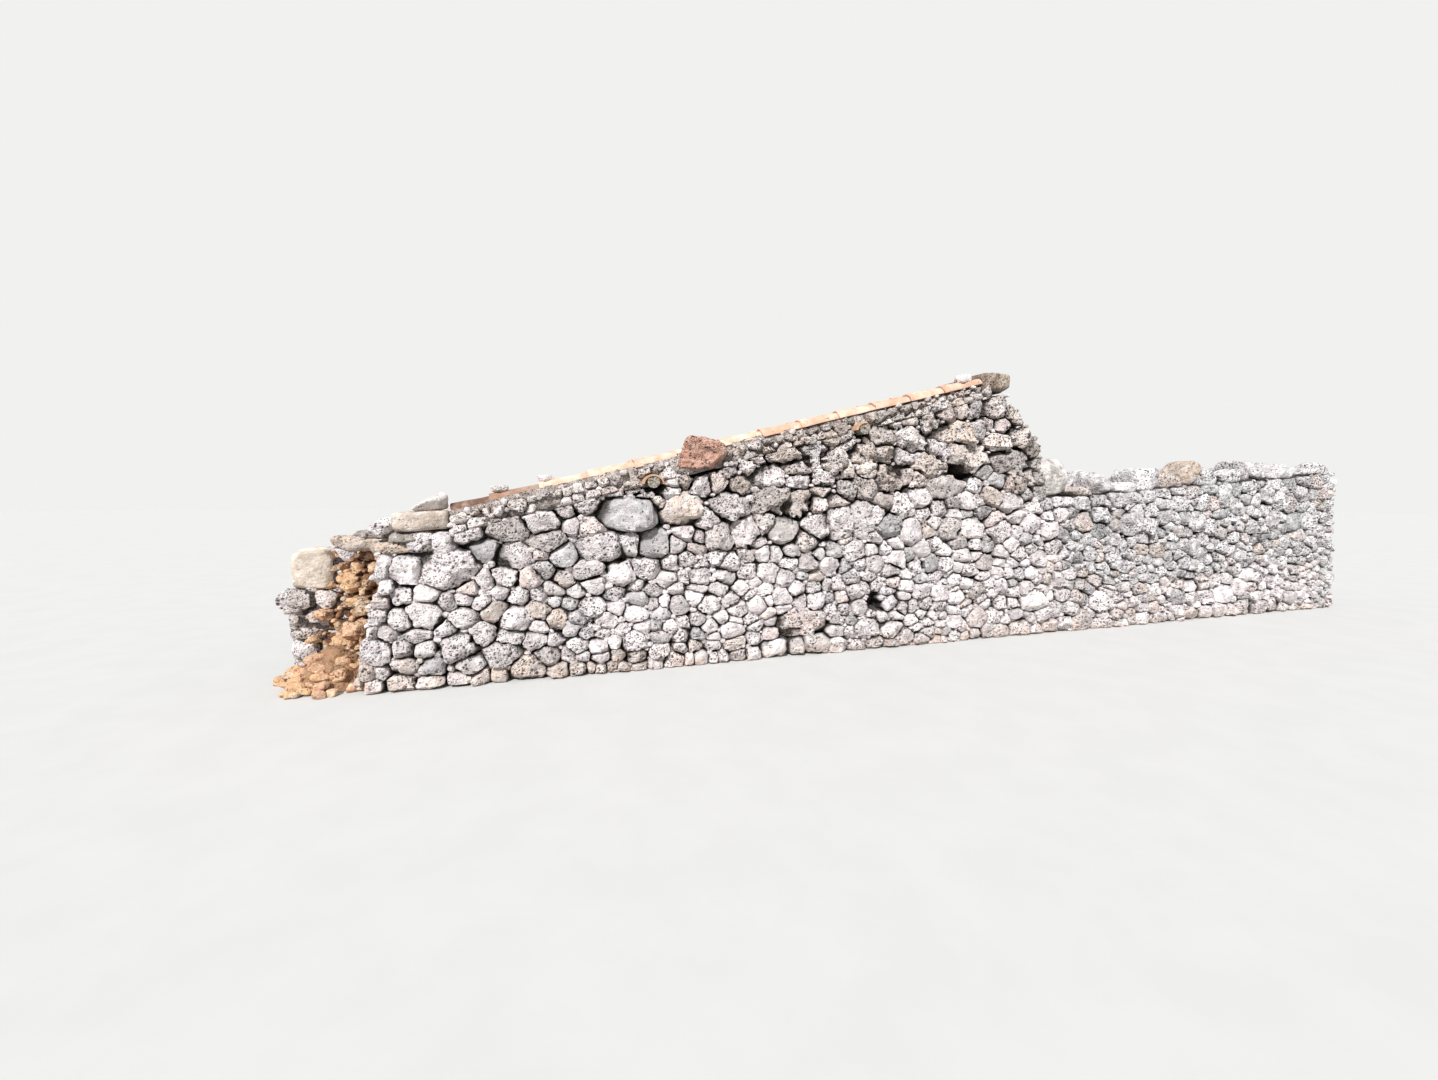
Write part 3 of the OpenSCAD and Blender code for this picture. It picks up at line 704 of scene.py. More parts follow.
@dataclass(frozen=True)
class ClayFinish:
    """Fired clay tile: sandy grain, faded skin, grey lichen and dark weathered patches."""

    name: str
    body: Colour = paint(214, 164, 136)
    faded: Colour = paint(232, 204, 184)
    burnt: Colour = paint(112, 82, 68)
    crust: Colour = paint(164, 152, 138)
    specks: Colour = paint(70, 58, 50)

    def make(self) -> Material:
        """Builds the material."""
        coat = Coat(self.name)
        place = coat.stone_place()
        crust, pitting = coat.crust(place, 14.0), coat.pitting(place, 70.0, 0.34)
        base = coat.mix(coat.band(coat.noise(place, 6.0, 5.0, 0.6), 0.35, 0.65), self.body, self.faded)
        patchy = coat.band(coat.noise(place, 18.0, 4.0), 0.25, 0.55, 0.6, 1.0)
        base = coat.cover(coat.value("burnt"), patchy, base, self.burnt)
        base = coat.cover(crust["Patches"], 0.5, base, self.crust)
        base = coat.cover(crust["Specks"], 0.6, base, self.specks)
        base = coat.dim(base, coat.band(coat.value("tone"), 0.0, 1.0, 0.82, 1.1))
        rough = coat.band(pitting["Grain"], 0.2, 0.8, 0.72, 0.92)
        return coat.finish(base, rough, pitting["Height"], 0.003, 0.8)


@dataclass(frozen=True)
class MortarFinish:
    """Old lime mortar: chalky, gritty, stained and grown over with grey crust."""

    name: str
    fresh: Colour = paint(208, 197, 190)
    stained: Colour = paint(168, 154, 145)
    grit: Colour = paint(84, 72, 62)

    def make(self) -> Material:
        """Builds the material."""
        coat = Coat(self.name)
        place = coat.place()
        pitting, crust = coat.pitting(place, 36.0, 0.56), coat.crust(place, 9.0)
        base = coat.mix(coat.band(coat.noise(place, 7.0, 5.0, 0.66), 0.38, 0.62), self.stained, self.fresh)
        base = coat.cover(crust["Patches"], 0.55, base, self.stained)
        base = coat.cover(crust["Specks"], 0.7, base, self.grit)
        base = coat.cover(pitting["Pits"], 0.7, base, self.grit)
        return coat.finish(base, 0.95, pitting["Height"], 0.018)


@dataclass(frozen=True)
class TimberFinish:
    """Grey weathered log: long cracks, and rings and splits on its sawn end."""

    name: str
    axis: Point2
    light: Colour = paint(188, 180, 168)
    dark: Colour = paint(84, 72, 62)
    cracks: Colour = paint(38, 31, 27)

    def make(self) -> Material:
        """Builds the material."""
        coat = Coat(self.name)
        shift = (-self.axis[0], 0.0, -self.axis[1])
        centre = coat.add("ShaderNodeMapping", {}, {"Vector": coat.place(), "Location": shift}).outputs[0]
        parts = coat.add("ShaderNodeSeparateXYZ", {}, {0: centre})
        flat = coat.add("ShaderNodeCombineXYZ", {}, {0: parts.outputs[0], 2: parts.outputs[2]}).outputs[0]
        radius = coat.add("ShaderNodeVectorMath", {"operation": "LENGTH"}, {0: flat}).outputs["Value"]
        wobble = coat.math("MULTIPLY", coat.noise(centre, 22.0, 3.0), 0.012)
        rings = coat.math("SINE", coat.math("MULTIPLY", coat.math("ADD", radius, wobble), 900.0))
        angle = coat.math("ARCTAN2", parts.outputs[2], parts.outputs[0])
        spokes = coat.add("ShaderNodeCombineXYZ", {}, {0: coat.math("MULTIPLY", angle, 1.6)}).outputs[0]
        splits = coat.band(coat.noise(spokes, 3.4, 4.0, 0.75), 0.43, 0.36)
        stretched = coat.add(
            "ShaderNodeMapping", {}, {"Vector": centre, "Scale": (26.0, 2.2, 26.0)},
        ).outputs[0]
        fibres = coat.noise(stretched, 2.6, 5.0, 0.7)
        base = coat.mix(coat.band(fibres, 0.32, 0.62), self.dark, self.light)
        base = coat.mix(coat.band(rings, -0.3, 1.0, 0.0, 0.35), base, self.dark)
        base = coat.cover(splits, 0.85, base, self.cracks)
        return coat.finish(base, 0.9, coat.math("SUBTRACT", fibres, splits), 0.005, 0.8)


LIMESTONE = StoneFinish(
    "limestone_pitted", paint(246, 238, 236), paint(205, 195, 196), pit_spread=0.53, soil_height=0.14,
)
FIELD_STONE = StoneFinish(
    "limestone_field", paint(238, 234, 233), paint(188, 183, 184), lichen=paint(154, 150, 149),
    pit_spread=0.60,
    soil_height=0.14,
)
RUGGED_STONE = StoneFinish(
    "limestone_rugged", paint(230, 218, 210), paint(184, 170, 162), lichen=paint(130, 118, 110),
    pit_scale=22.0, pit_spread=0.58, lichen_share=0.65, chalk_share=0.45, bump=0.022,
)
KERB_STONE = StoneFinish(
    "kerb_stone", paint(212, 198, 184), paint(168, 152, 136), pit_scale=44.0, pit_spread=0.40,
    lichen_share=0.45,
    chalk_share=0.25, bump=0.008,
)
BLOCK_STONE = StoneFinish(
    "block_stone", paint(222, 209, 194), paint(178, 164, 146), pit_scale=44.0, pit_spread=0.40,
    lichen_share=0.35,
    chalk_share=0.3, bump=0.008,
)
JUNCTION_STONE = StoneFinish(
    "junction_stone", paint(236, 230, 224), paint(176, 170, 164), lichen=paint(140, 136, 132), pit_scale=34.0,
    pit_spread=0.46, lichen_share=0.7,
)
BALLAST_STONE = StoneFinish(
    "ballast_stone", paint(240, 233, 228), paint(204, 195, 190), pit_scale=40.0, pit_spread=0.42,
    lichen_share=0.3,
)
VERGE_STONE = StoneFinish(
    "verge_stone", paint(242, 233, 229), paint(202, 190, 186), lichen=paint(160, 150, 144), pit_scale=24.0,
    pit_spread=0.52, lichen_share=0.45, chalk_share=0.6, bump=0.020,
)
SLAB_STONE = StoneFinish(
    "slab_stone", paint(170, 157, 144), paint(118, 107, 97), pit_scale=30.0, pit_spread=0.54,
    lichen_share=0.6,
    chalk_share=0.4,
)
RED_STONE = StoneFinish(
    "red_boulder", paint(230, 182, 160), paint(196, 142, 120), lichen=paint(176, 142, 128),
    pit=paint(92, 56, 46), chalk=paint(234, 204, 188), pit_scale=24.0, pit_spread=0.62, lichen_share=0.6,
    chalk_share=0.4, bump=0.028,
)
RUBBLE_STONE = StoneFinish(
    "ochre_rubble", paint(234, 204, 172), paint(206, 164, 128), grey=paint(214, 200, 182),
    tan=paint(226, 182, 138), pink=paint(214, 166, 136), lichen=paint(190, 148, 116),
    # In the rubble this joint colour is earth and painted shade together; on the mound it is only earth
    chalk=paint(240, 222, 200), shade_and_earth=paint(120, 80, 54),
    pit=paint(112, 68, 40), pit_scale=38.0, pit_spread=0.44, lichen_share=0.35, chalk_share=0.45,
)


class FinishRack:
    """Makes each finish once and hands it out."""

    def __init__(self) -> None:
        """Starts with an empty rack."""
        self.made: dict[str, Material] = {}

    def dress(self, piece: Piece, finish: object) -> None:
        """Gives a piece one finish all over.

        Args:
            piece: The piece to work on.
            finish: The finish that makes the material.
        """
        if finish.name not in self.made:
            self.made[finish.name] = finish.make()
        piece.data.materials.clear()
        piece.data.materials.append(self.made[finish.name])


class Bench:
    """Modelling operators, each acting on one object alone."""

    @staticmethod
    def clear() -> None:
        """Leaves nothing selected."""
        bpy.ops.object.select_all(action="DESELECT")

    @staticmethod
    def take(piece: Piece) -> None:
        """Selects one object and makes it active."""
        Bench.clear()
        piece.select_set(True)
        bpy.context.view_layer.objects.active = piece

    @staticmethod
    def modify(piece: Piece, kind: str, **settings: object) -> None:
        """Adds a modifier with its settings and applies it.

        Args:
            piece: The piece to work on.
            kind: The modifier's kind.
            settings: Its settings.
        """
        Bench.take(piece)
        modifier = piece.modifiers.new(kind.lower(), kind)
        for name, value in settings.items():
            setattr(modifier, name, value)
        bpy.ops.object.modifier_apply(modifier=modifier.name)

    @staticmethod
    @contextmanager
    def editing(
        piece: Piece, chosen: Callable[[bpy.types.MeshPolygon], bool] | None = None,
    ) -> Iterator[None]:
        """Opens a piece for editing and closes it again.

        Args:
            piece: The object to open.
            chosen: Picks the faces that are selected; without it everything is.

        Returns:
            The time for which it is open.
        """
        Bench.take(piece)
        bpy.ops.object.mode_set(mode="EDIT")
        bpy.ops.mesh.select_all(action="SELECT")
        if chosen:
            bpy.ops.mesh.select_mode(type="FACE")
            bpy.ops.mesh.select_all(action="DESELECT")
            bpy.ops.object.mode_set(mode="OBJECT")
            for face in piece.data.polygons:
                face.select = chosen(face)
            bpy.ops.object.mode_set(mode="EDIT")
        yield
        bpy.ops.object.mode_set(mode="OBJECT")

    @staticmethod
    def slice(at: object, way: object, **settings: bool) -> None:
        """Cuts all of the piece that is open by a plane through a point."""
        bpy.ops.mesh.select_all(action="SELECT")
        bpy.ops.mesh.bisect(plane_co=at, plane_no=way, **settings)

    @staticmethod
    def face_out(piece: Piece) -> None:
        """Turns every face outward."""
        with Bench.editing(piece):
            bpy.ops.mesh.normals_make_consistent(inside=False)

    @staticmethod
    def smooth(piece: Piece, angle: float = 180.0) -> None:
        """Shades a piece smooth, keeping edges sharper than an angle in degrees.

        Args:
            piece: The piece to work on.
            angle: The sharpest angle that is still smooth.
        """
        Bench.take(piece)
        if angle >= 180.0:
            bpy.ops.object.shade_smooth()
        else:
            bpy.ops.object.shade_smooth_by_angle(angle=math.radians(angle))

    @staticmethod
    def join(name: str, parts: list[Piece]) -> Piece:
        """Joins parts into one named piece.

        Args:
            name: Its name.
            parts: The parts, which become one.

        Returns:
            The joined piece.
        """
        Bench.clear()
        for part in parts:
            part.select_set(True)
        bpy.context.view_layer.objects.active = parts[0]
        if len(parts) > 1:
            bpy.ops.object.join()
        parts[0].name = name
        parts[0].data.name = name
        return parts[0]

    @staticmethod
    def points(piece: Piece) -> Rows:
        """Reads a mesh's points as rows.

        Args:
            piece: The piece to work on.

        Returns:
            One row for each point.
        """
        flat = np.empty(len(piece.data.vertices) * 3)
        piece.data.vertices.foreach_get("co", flat)
        return flat.reshape(-1, 3)

    @staticmethod
    def move(piece: Piece, rows: Rows) -> None:
        """Writes a mesh's points back."""
        piece.data.vertices.foreach_set("co", np.ascontiguousarray(rows, dtype=np.float64).ravel())
        piece.data.update()


def mark(piece: Piece, name: str, values: object) -> None:
    """Writes one value, or a row of three, for each point of a mesh.

    Args:
        piece: The object whose mesh is written.
        name: The attribute's name.
        values: An array, or one number or tuple for every point.
    """
    count = len(piece.data.vertices)
    rows = np.asarray(values, dtype=np.float32)
    triple = rows.shape[-1:] == (3,)
    if rows.ndim == (1 if triple else 0):
        rows = np.tile(rows, (count, 1)) if triple else np.full(count, float(rows), dtype=np.float32)
    kind, key = ("FLOAT_VECTOR", "vector") if triple else ("FLOAT", "value")
    attribute = piece.data.attributes.new(name, kind, "POINT")
    attribute.data.foreach_set(key, rows.ravel())


class StoneBatch:
    """Gathers the stones of one piece and joins them into one mesh."""

    crease = 32.0

    def __init__(self) -> None:
        """Starts empty."""
        self.points: list[Rows] = []
        self.quads: list[Rows] = []
        self.tris: list[Rows] = []
        self.values: list[Rows] = []
        self.count = 0
        self.stones = 0

    def add(self, points: Rows, quads: Rows, tris: Rows, values: Rows) -> None:
        """Adds one stone: its points, its faces, and rows of tone, cast, painted joint shade and blend.

        Args:
            points: Its points.
            quads: Its four-cornered faces.
            tris: Its three-cornered faces.
            values: Its rows of values.
        """
        self.points.append(points)
        self.quads.append(quads + self.count)
        self.tris.append(tris + self.count)
        self.values.append(values)
        self.count += len(points)
        self.stones += 1

    def build(self, name: str) -> Piece:
        """Makes the joined mesh.

        Args:
            name: Its name.

        Returns:
            The mesh's piece.
        """
        mesh = bpy.data.meshes.new(name)
        faces = np.concatenate(self.quads).tolist() + np.concatenate(self.tris).tolist()
        mesh.from_pydata(np.concatenate(self.points).tolist(), [], faces)
        piece = bpy.data.objects.new(name, mesh)
        bpy.context.scene.collection.objects.link(piece)
        values = np.concatenate(self.values)
        for index, label in enumerate(("tone", "cast", "shade_and_earth_share")):
            mark(piece, label, values[:, index])
        mark(piece, "blend", values[:, 3:6])
        Bench.smooth(piece, self.crease)
        return piece


@dataclass(frozen=True)
class Template:
    """Directions and faces of a stone before it is shaped: a squared disc in front, rings behind."""

    ways: Rows
    quads: Rows
    tris: Rows


@lru_cache(maxsize=None)
def stone_template(detail: int) -> Template:
    """Builds the template with a front of detail by detail faces.

    Args:
        detail: Faces along each side of the front.

    Returns:
        The directions from the stone's heart, and the faces between them.
    """
    line = np.linspace(-1.0, 1.0, detail + 1)
    across, up = np.meshgrid(line, line)
    across, up = across.ravel(), up.ravel()
    x = across * np.sqrt(1.0 - up * up / 2.0)
    y = up * np.sqrt(1.0 - across * across / 2.0)
    spread = np.hypot(x, y)
    turn = np.arctan2(y, x)
    dip = np.radians(np.interp(spread, [0.0, 0.76, 1.0], [0.0, 54.0, 92.0]))
    ways = [np.stack([np.sin(dip) * np.cos(turn), np.sin(dip) * np.sin(turn), np.cos(dip)], axis=1)]
    row = detail + 1
    grid = np.arange(row * row).reshape(row, row)
    quads = [np.stack([grid[:-1, :-1], grid[:-1, 1:], grid[1:, 1:], grid[1:, :-1]], axis=-1).reshape(-1, 4)]
    rim = np.concatenate([grid[0, :-1], grid[:-1, -1], grid[-1, :0:-1], grid[:0:-1, 0]])
    count = row * row
    ring = np.arange(count, count + len(rim))
    back = math.radians(130.0)
    ways.append(np.stack([
        math.sin(back) * np.cos(turn[rim]), math.sin(back) * np.sin(turn[rim]),
        np.full(len(rim), math.cos(back)),
    ], axis=1))
    quads.append(np.stack([rim, ring, np.roll(ring, -1), np.roll(rim, -1)], axis=1))
    ways.append(np.array([[0.0, 0.0, -1.0]]))
    tris = np.stack([ring, np.full(len(rim), count + len(rim)), np.roll(ring, -1)], axis=1)
    return Template(np.concatenate(ways), np.concatenate(quads), tris)


@dataclass(frozen=True)
class FacePlane:
    """A face of the wall: its corner, and its along, up and out directions in the model."""

    corner: tuple[float, float, float]
    along: tuple[float, float, float]
    up: tuple[float, float, float]
    out: tuple[float, float, float]

    def place(self, rows: Rows) -> Rows:
        """Turns rows of along, up and out into the model's frame."""
        return np.array(self.corner) + rows @ np.array([self.along, self.up, self.out])

    @property
    def mirrored(self) -> bool:
        """Whether the three directions are left-handed, so that faces have to be turned."""
        return bool(np.linalg.det(np.array([self.along, self.up, self.out])) < 0.0)


@dataclass
class Seed:
    """Heart of one stone on a face, before its outline is known."""

    s: float
    z: float
    size: float
    kind: StoneKind = StoneKind.PALE
    fixed: bool = False
    stone: bool = True
    outset: float = 0.0
    rugged: float = 0.0
    smooth: bool = False
    group: int = 0
    room: Point2 = (0.0, 0.0)


class CellLayout:
    """Parts a face into stone outlines: weighted cells round the seeds."""

    squash = 1.22
    reach = 0.55
    neighbours = 18

    def __init__(self, seeds: list[Seed], fences: Callable[[Seed], list[Fence]]) -> None:
        """Takes the seeds and the function that fences each one in."""
        self.seeds = seeds
        self.fences = fences

    @staticmethod
    def clip(outline: list[Point2], fence: Fence) -> list[Point2]:
        """Cuts a convex outline by a half-plane: ns * s + nz * z <= limit.

        Args:
            outline: The outline's corners, in order.
            fence: The half-plane: ns, nz and limit.

        Returns:
            What is left of the outline.
        """
        ns, nz, limit = fence
        kept: list[Point2] = []
        for index, point in enumerate(outline):
            after = outline[(index + 1) % len(outline)]
            here = ns * point[0] + nz * point[1] - limit
            there = ns * after[0] + nz * after[1] - limit
            if here <= 0.0:
                kept.append(point)
            if (here < 0.0 < there) or (there < 0.0 < here):
                share = here / (here - there)
                kept.append(
                    (point[0] + share * (after[0] - point[0]), point[1] + share * (after[1] - point[1]))
                )
        return kept

    def outlines(self) -> list[list[Point2]]:
        """Works out every seed's cell.

        Returns:
            One outline for each seed.
        """
        centres = np.array([[seed.s, seed.z * self.squash] for seed in self.seeds])
        weights = np.array([seed.size for seed in self.seeds]) ** 2
        found: list[list[Point2]] = []
        for index, seed in enumerate(self.seeds):
            gap = centres - centres[index]
            distance = np.hypot(gap[:, 0], gap[:, 1])
            distance[index] = 1e6
            border = (distance * distance + weights[index] - weights) / (2.0 * distance)
            order = np.argsort(border)[: self.neighbours]
            cell = [
                (seed.s - self.reach, seed.z - self.reach), (seed.s + self.reach, seed.z - self.reach),
                (seed.s + self.reach, seed.z + self.reach), (seed.s - self.reach, seed.z + self.reach),
            ]
            for other in order:
                if border[other] > self.reach or len(cell) < 3:
                    break
                ns = gap[other, 0] / distance[other]
                nz = gap[other, 1] / distance[other]
                limit = border[other] + ns * centres[index, 0] + nz * centres[index, 1]
                cell = self.clip(cell, (ns, nz * self.squash, limit))
            for fence in self.fences(seed):
                cell = self.clip(cell, fence)
            found.append(cell if len(cell) > 2 else [])
        return found

    @staticmethod
    def heart(outline: list[Point2]) -> tuple[float, float, float]:
        """Gives an outline's middle and area.

        Args:
            outline: The outline's corners, in order.

        Returns:
            The middle's place and height, and the area.
        """
        rows = np.array(outline)
        after = np.roll(rows, -1, axis=0)
        cross = rows[:, 0] * after[:, 1] - after[:, 0] * rows[:, 1]
        area = cross.sum() / 2.0
        if abs(area) < 1e-7:
            return rows[0, 0], rows[0, 1], 0.0
        middle = ((rows + after) * cross[:, None]).sum(axis=0) / (6.0 * area)
        return float(middle[0]), float(middle[1]), float(abs(area))

    @staticmethod
    def hull(points: list[Point2]) -> list[Point2]:
        """Gives the smallest convex outline round some points.

        Args:
            points: The points.

        Returns:
            The hull's corners, in order.
        """
        def chain(rows: list[Point2]) -> list[Point2]:
            """Walks along one side of the outline."""
            kept: list[Point2] = []
            for row in rows:
                while len(kept) > 1 and (
                    (kept[-1][0] - kept[-2][0]) * (row[1] - kept[-2][1])
                    <= (kept[-1][1] - kept[-2][1]) * (row[0] - kept[-2][0])
                ):
                    kept.pop()
                kept.append(row)
            return kept[:-1]
        rows = sorted(points)
        return chain(rows) + chain(rows[::-1])

    def settle(self, rounds: int, pull: float = 0.55) -> None:
        """Moves free seeds towards the middle of their cells.

        Args:
            rounds: How often to move them.
            pull: How far, as a share of the way.
        """
        for _ in range(rounds):
            for seed, outline in zip(self.seeds, self.outlines()):
                if outline and not seed.fixed:
                    middle_s, middle_z, _ = self.heart(outline)
                    seed.s += pull * (middle_s - seed.s)
                    seed.z += pull * (middle_z - seed.z)


@dataclass
class StoneCutter:
    """Shapes stones to their outlines: blocks with split facets, knocked-off corners and a pitted skin."""

    seed: int
    depth: float = 0.235
    heart_depth: float = 0.085
    rng: Draws = field(init=False)
    cast: int = 0

    def __post_init__(self) -> None:
        """Starts the seeded randomness."""
        self.rng = np.random.default_rng(self.seed)

    def values(self, count: int, seed: Seed, shade_and_earth_share: Rows) -> Rows:
        """Gives a stone's rows of tone, cast, painted joint shade and blend.

        Args:
            count: How many points it has.
            seed: The stone's seed.
            shade_and_earth_share: How deep each point lies in a joint, which sets how much painted shade it
                gets.

        Returns:
            One row for each point.
        """
        grey, tan, pink, dark = seed.kind.value
        tone = np.clip(self.rng.uniform(0.35 - 0.35 * seed.rugged, 1.0) - 0.6 * dark, 0.0, 1.0)
        blend = np.array([grey, tan, pink]) * self.rng.uniform(0.9 if seed.fixed else 0.5, 1.0)
        blend[1] = max(blend[1], seed.rugged * self.rng.uniform(0.0, 0.95))
        cast = self.rng.uniform(0.0, 0.35) if seed.smooth else self.rng.uniform(0.1, 0.8) + 0.3 * seed.rugged
        row = np.array([tone, cast, 0.0, *blend])
        rows = np.tile(row, (count, 1))
        rows[:, 2] = shade_and_earth_share
        return rows

    def planes(self, seed: Seed, corners: Rows, front: float) -> tuple[Rows, Rows]:
        """Chooses the planes that bound a stone.

        Args:
            seed: The stone's own nature.
            corners: Its outline about its middle.
            front: How far its heart lies behind its face.

        Returns:
            The planes' normals and their distances from the heart.
        """
        rng = self.rng
        normals: list[Rows] = []
        spans: list[float] = []
        for corner, after in zip(corners, np.roll(corners, -1, axis=0)):
            edge = after - corner
            length = float(np.hypot(*edge))
            if length < 0.012:
                continue
            out = np.array([edge[1], -edge[0]]) / length
            tilt = rng.normal(0.15, 0.13)
            joint = rng.uniform(-0.001, 0.010) + 0.006 * seed.rugged
            normals.append(np.array([*(out * math.cos(tilt)), math.sin(tilt)]))
            spans.append(
                max(0.012, float(out @ corner) - joint) * math.cos(tilt) + 0.65 * front * math.sin(tilt)
            )
        face = np.array([*rng.normal(0.0, 0.21 + 0.06 * seed.rugged, 2), 1.0])
        normals += [face / np.linalg.norm(face), np.array([0.0, 0.0, -1.0])]
        spans += [front, self.depth - front]
        for _ in range(int(rng.integers(2, 4)) if seed.smooth else int(rng.integers(4, 8))):
            turn, dip = rng.uniform(0.0, 2.0 * math.pi), math.radians(rng.uniform(24.0, 72.0))
            way = np.array([math.sin(dip) * math.cos(turn), math.sin(dip) * math.sin(turn), math.cos(dip)])
            support = float(np.max(corners @ way[:2])) + way[2] * front
            normals.append(way)
            spans.append(support * rng.uniform(0.66, 0.94))
        return np.array(normals), np.array(spans)

    def skin(self, seed: Seed, rows: Rows, size: float) -> Rows:
        """Gives the height of a stone's lumps and hollows at each point.

        Args:
            seed: The stone's seed.
            rows: The points, in the stone's own frame.
            size: The stone's size.

        Returns:
            One height for each point.
        """
        self.cast += 1
        place = rows + self.cast * 3.7
        rough = 0.100 * size * (0.6 if seed.smooth else 1.0) * (1.0 + 0.8 * seed.rugged)
        lumps = 0.6 * value_noise(place * (2.1 / size), 3)
        lumps += 1.1 * np.abs(value_noise(place * (4.2 / size), 5)) - 0.35
        lumps += 0.45 * value_noise(place * (9.0 / size), 7)
        hollows = np.clip(value_noise(place * (3.4 / size), 9) - 0.42, 0.0, 1.0)
        return rough * lumps - (0.18 + 0.35 * seed.rugged) * size * hollows * (0.2 if seed.smooth else 1.0)

    def cut(self, batch: StoneBatch, plane: FacePlane, seed: Seed, outline: list[Point2], detail: int,
            limit: Callable[[Rows], Rows], hidden: Callable[[Rows], Rows]) -> None:
        """Shapes one stone and adds it to a batch.

        Args:
            batch: The piece that the stone goes into.
            plane: The face that the outline is drawn on.
            seed: The stone's own nature.
            outline: Its cell on the face.
            detail: Faces along each side of its front.
            limit: How far out a point at each height may stand.
            hidden: 1 where a point in a joint gets painted shade, 0 at a free end of the wall.
        """
        middle_s, middle_z, area = CellLayout.heart(outline)
        if area < 0.0008:
            return
        shape = stone_template(detail)
        size = math.sqrt(area)
        front = min(self.heart_depth, 0.7 * size)
        corners = np.array(outline) - (middle_s, middle_z)
        normals, spans = self.planes(seed, corners, front)
        wide, tall = np.abs(corners).max(axis=0)
        stretch = np.where(
            shape.ways[:, 2:3] > 0.0, [[wide, tall, front]], [[wide, tall, self.depth - front]],
        )
        ways = shape.ways * stretch
        ways /= np.linalg.norm(ways, axis=1, keepdims=True)
        power = 12.0 if seed.smooth else self.rng.uniform(22.0, 60.0)
        pushes = np.maximum(0.0, ways @ normals.T / spans)
        radius = (pushes ** power).sum(axis=1) ** (-1.0 / power)
        lumps = self.skin(seed, ways * radius[:, None], size)
        radius = radius + lumps * np.where(ways[:, 2] > -0.2, 1.0, 0.3)
        rows = ways * radius[:, None]
        relief = seed.outset + (0.013 + 0.020 * seed.rugged) * self.rng.uniform(-1.0, 1.0)
        rows += (middle_s, middle_z, relief - front)
        rows[:, 1] = np.maximum(rows[:, 1], 0.0)
        rows[:, 2] = np.minimum(rows[:, 2], limit(rows[:, 1]))
        # Painted shade: points in a joint are painted darker the deeper they lie behind the face, standing in
        # for shadow between stones
        shade_and_earth_share = np.clip((-0.022 - rows[:, 2]) / 0.035, 0.0, 1.0) * hidden(rows)
        quads, tris = shape.quads, shape.tris
        if plane.mirrored:
            quads, tris = quads[:, ::-1], tris[:, ::-1]
        batch.add(plane.place(rows), quads, tris, self.values(len(rows), seed, shade_and_earth_share))


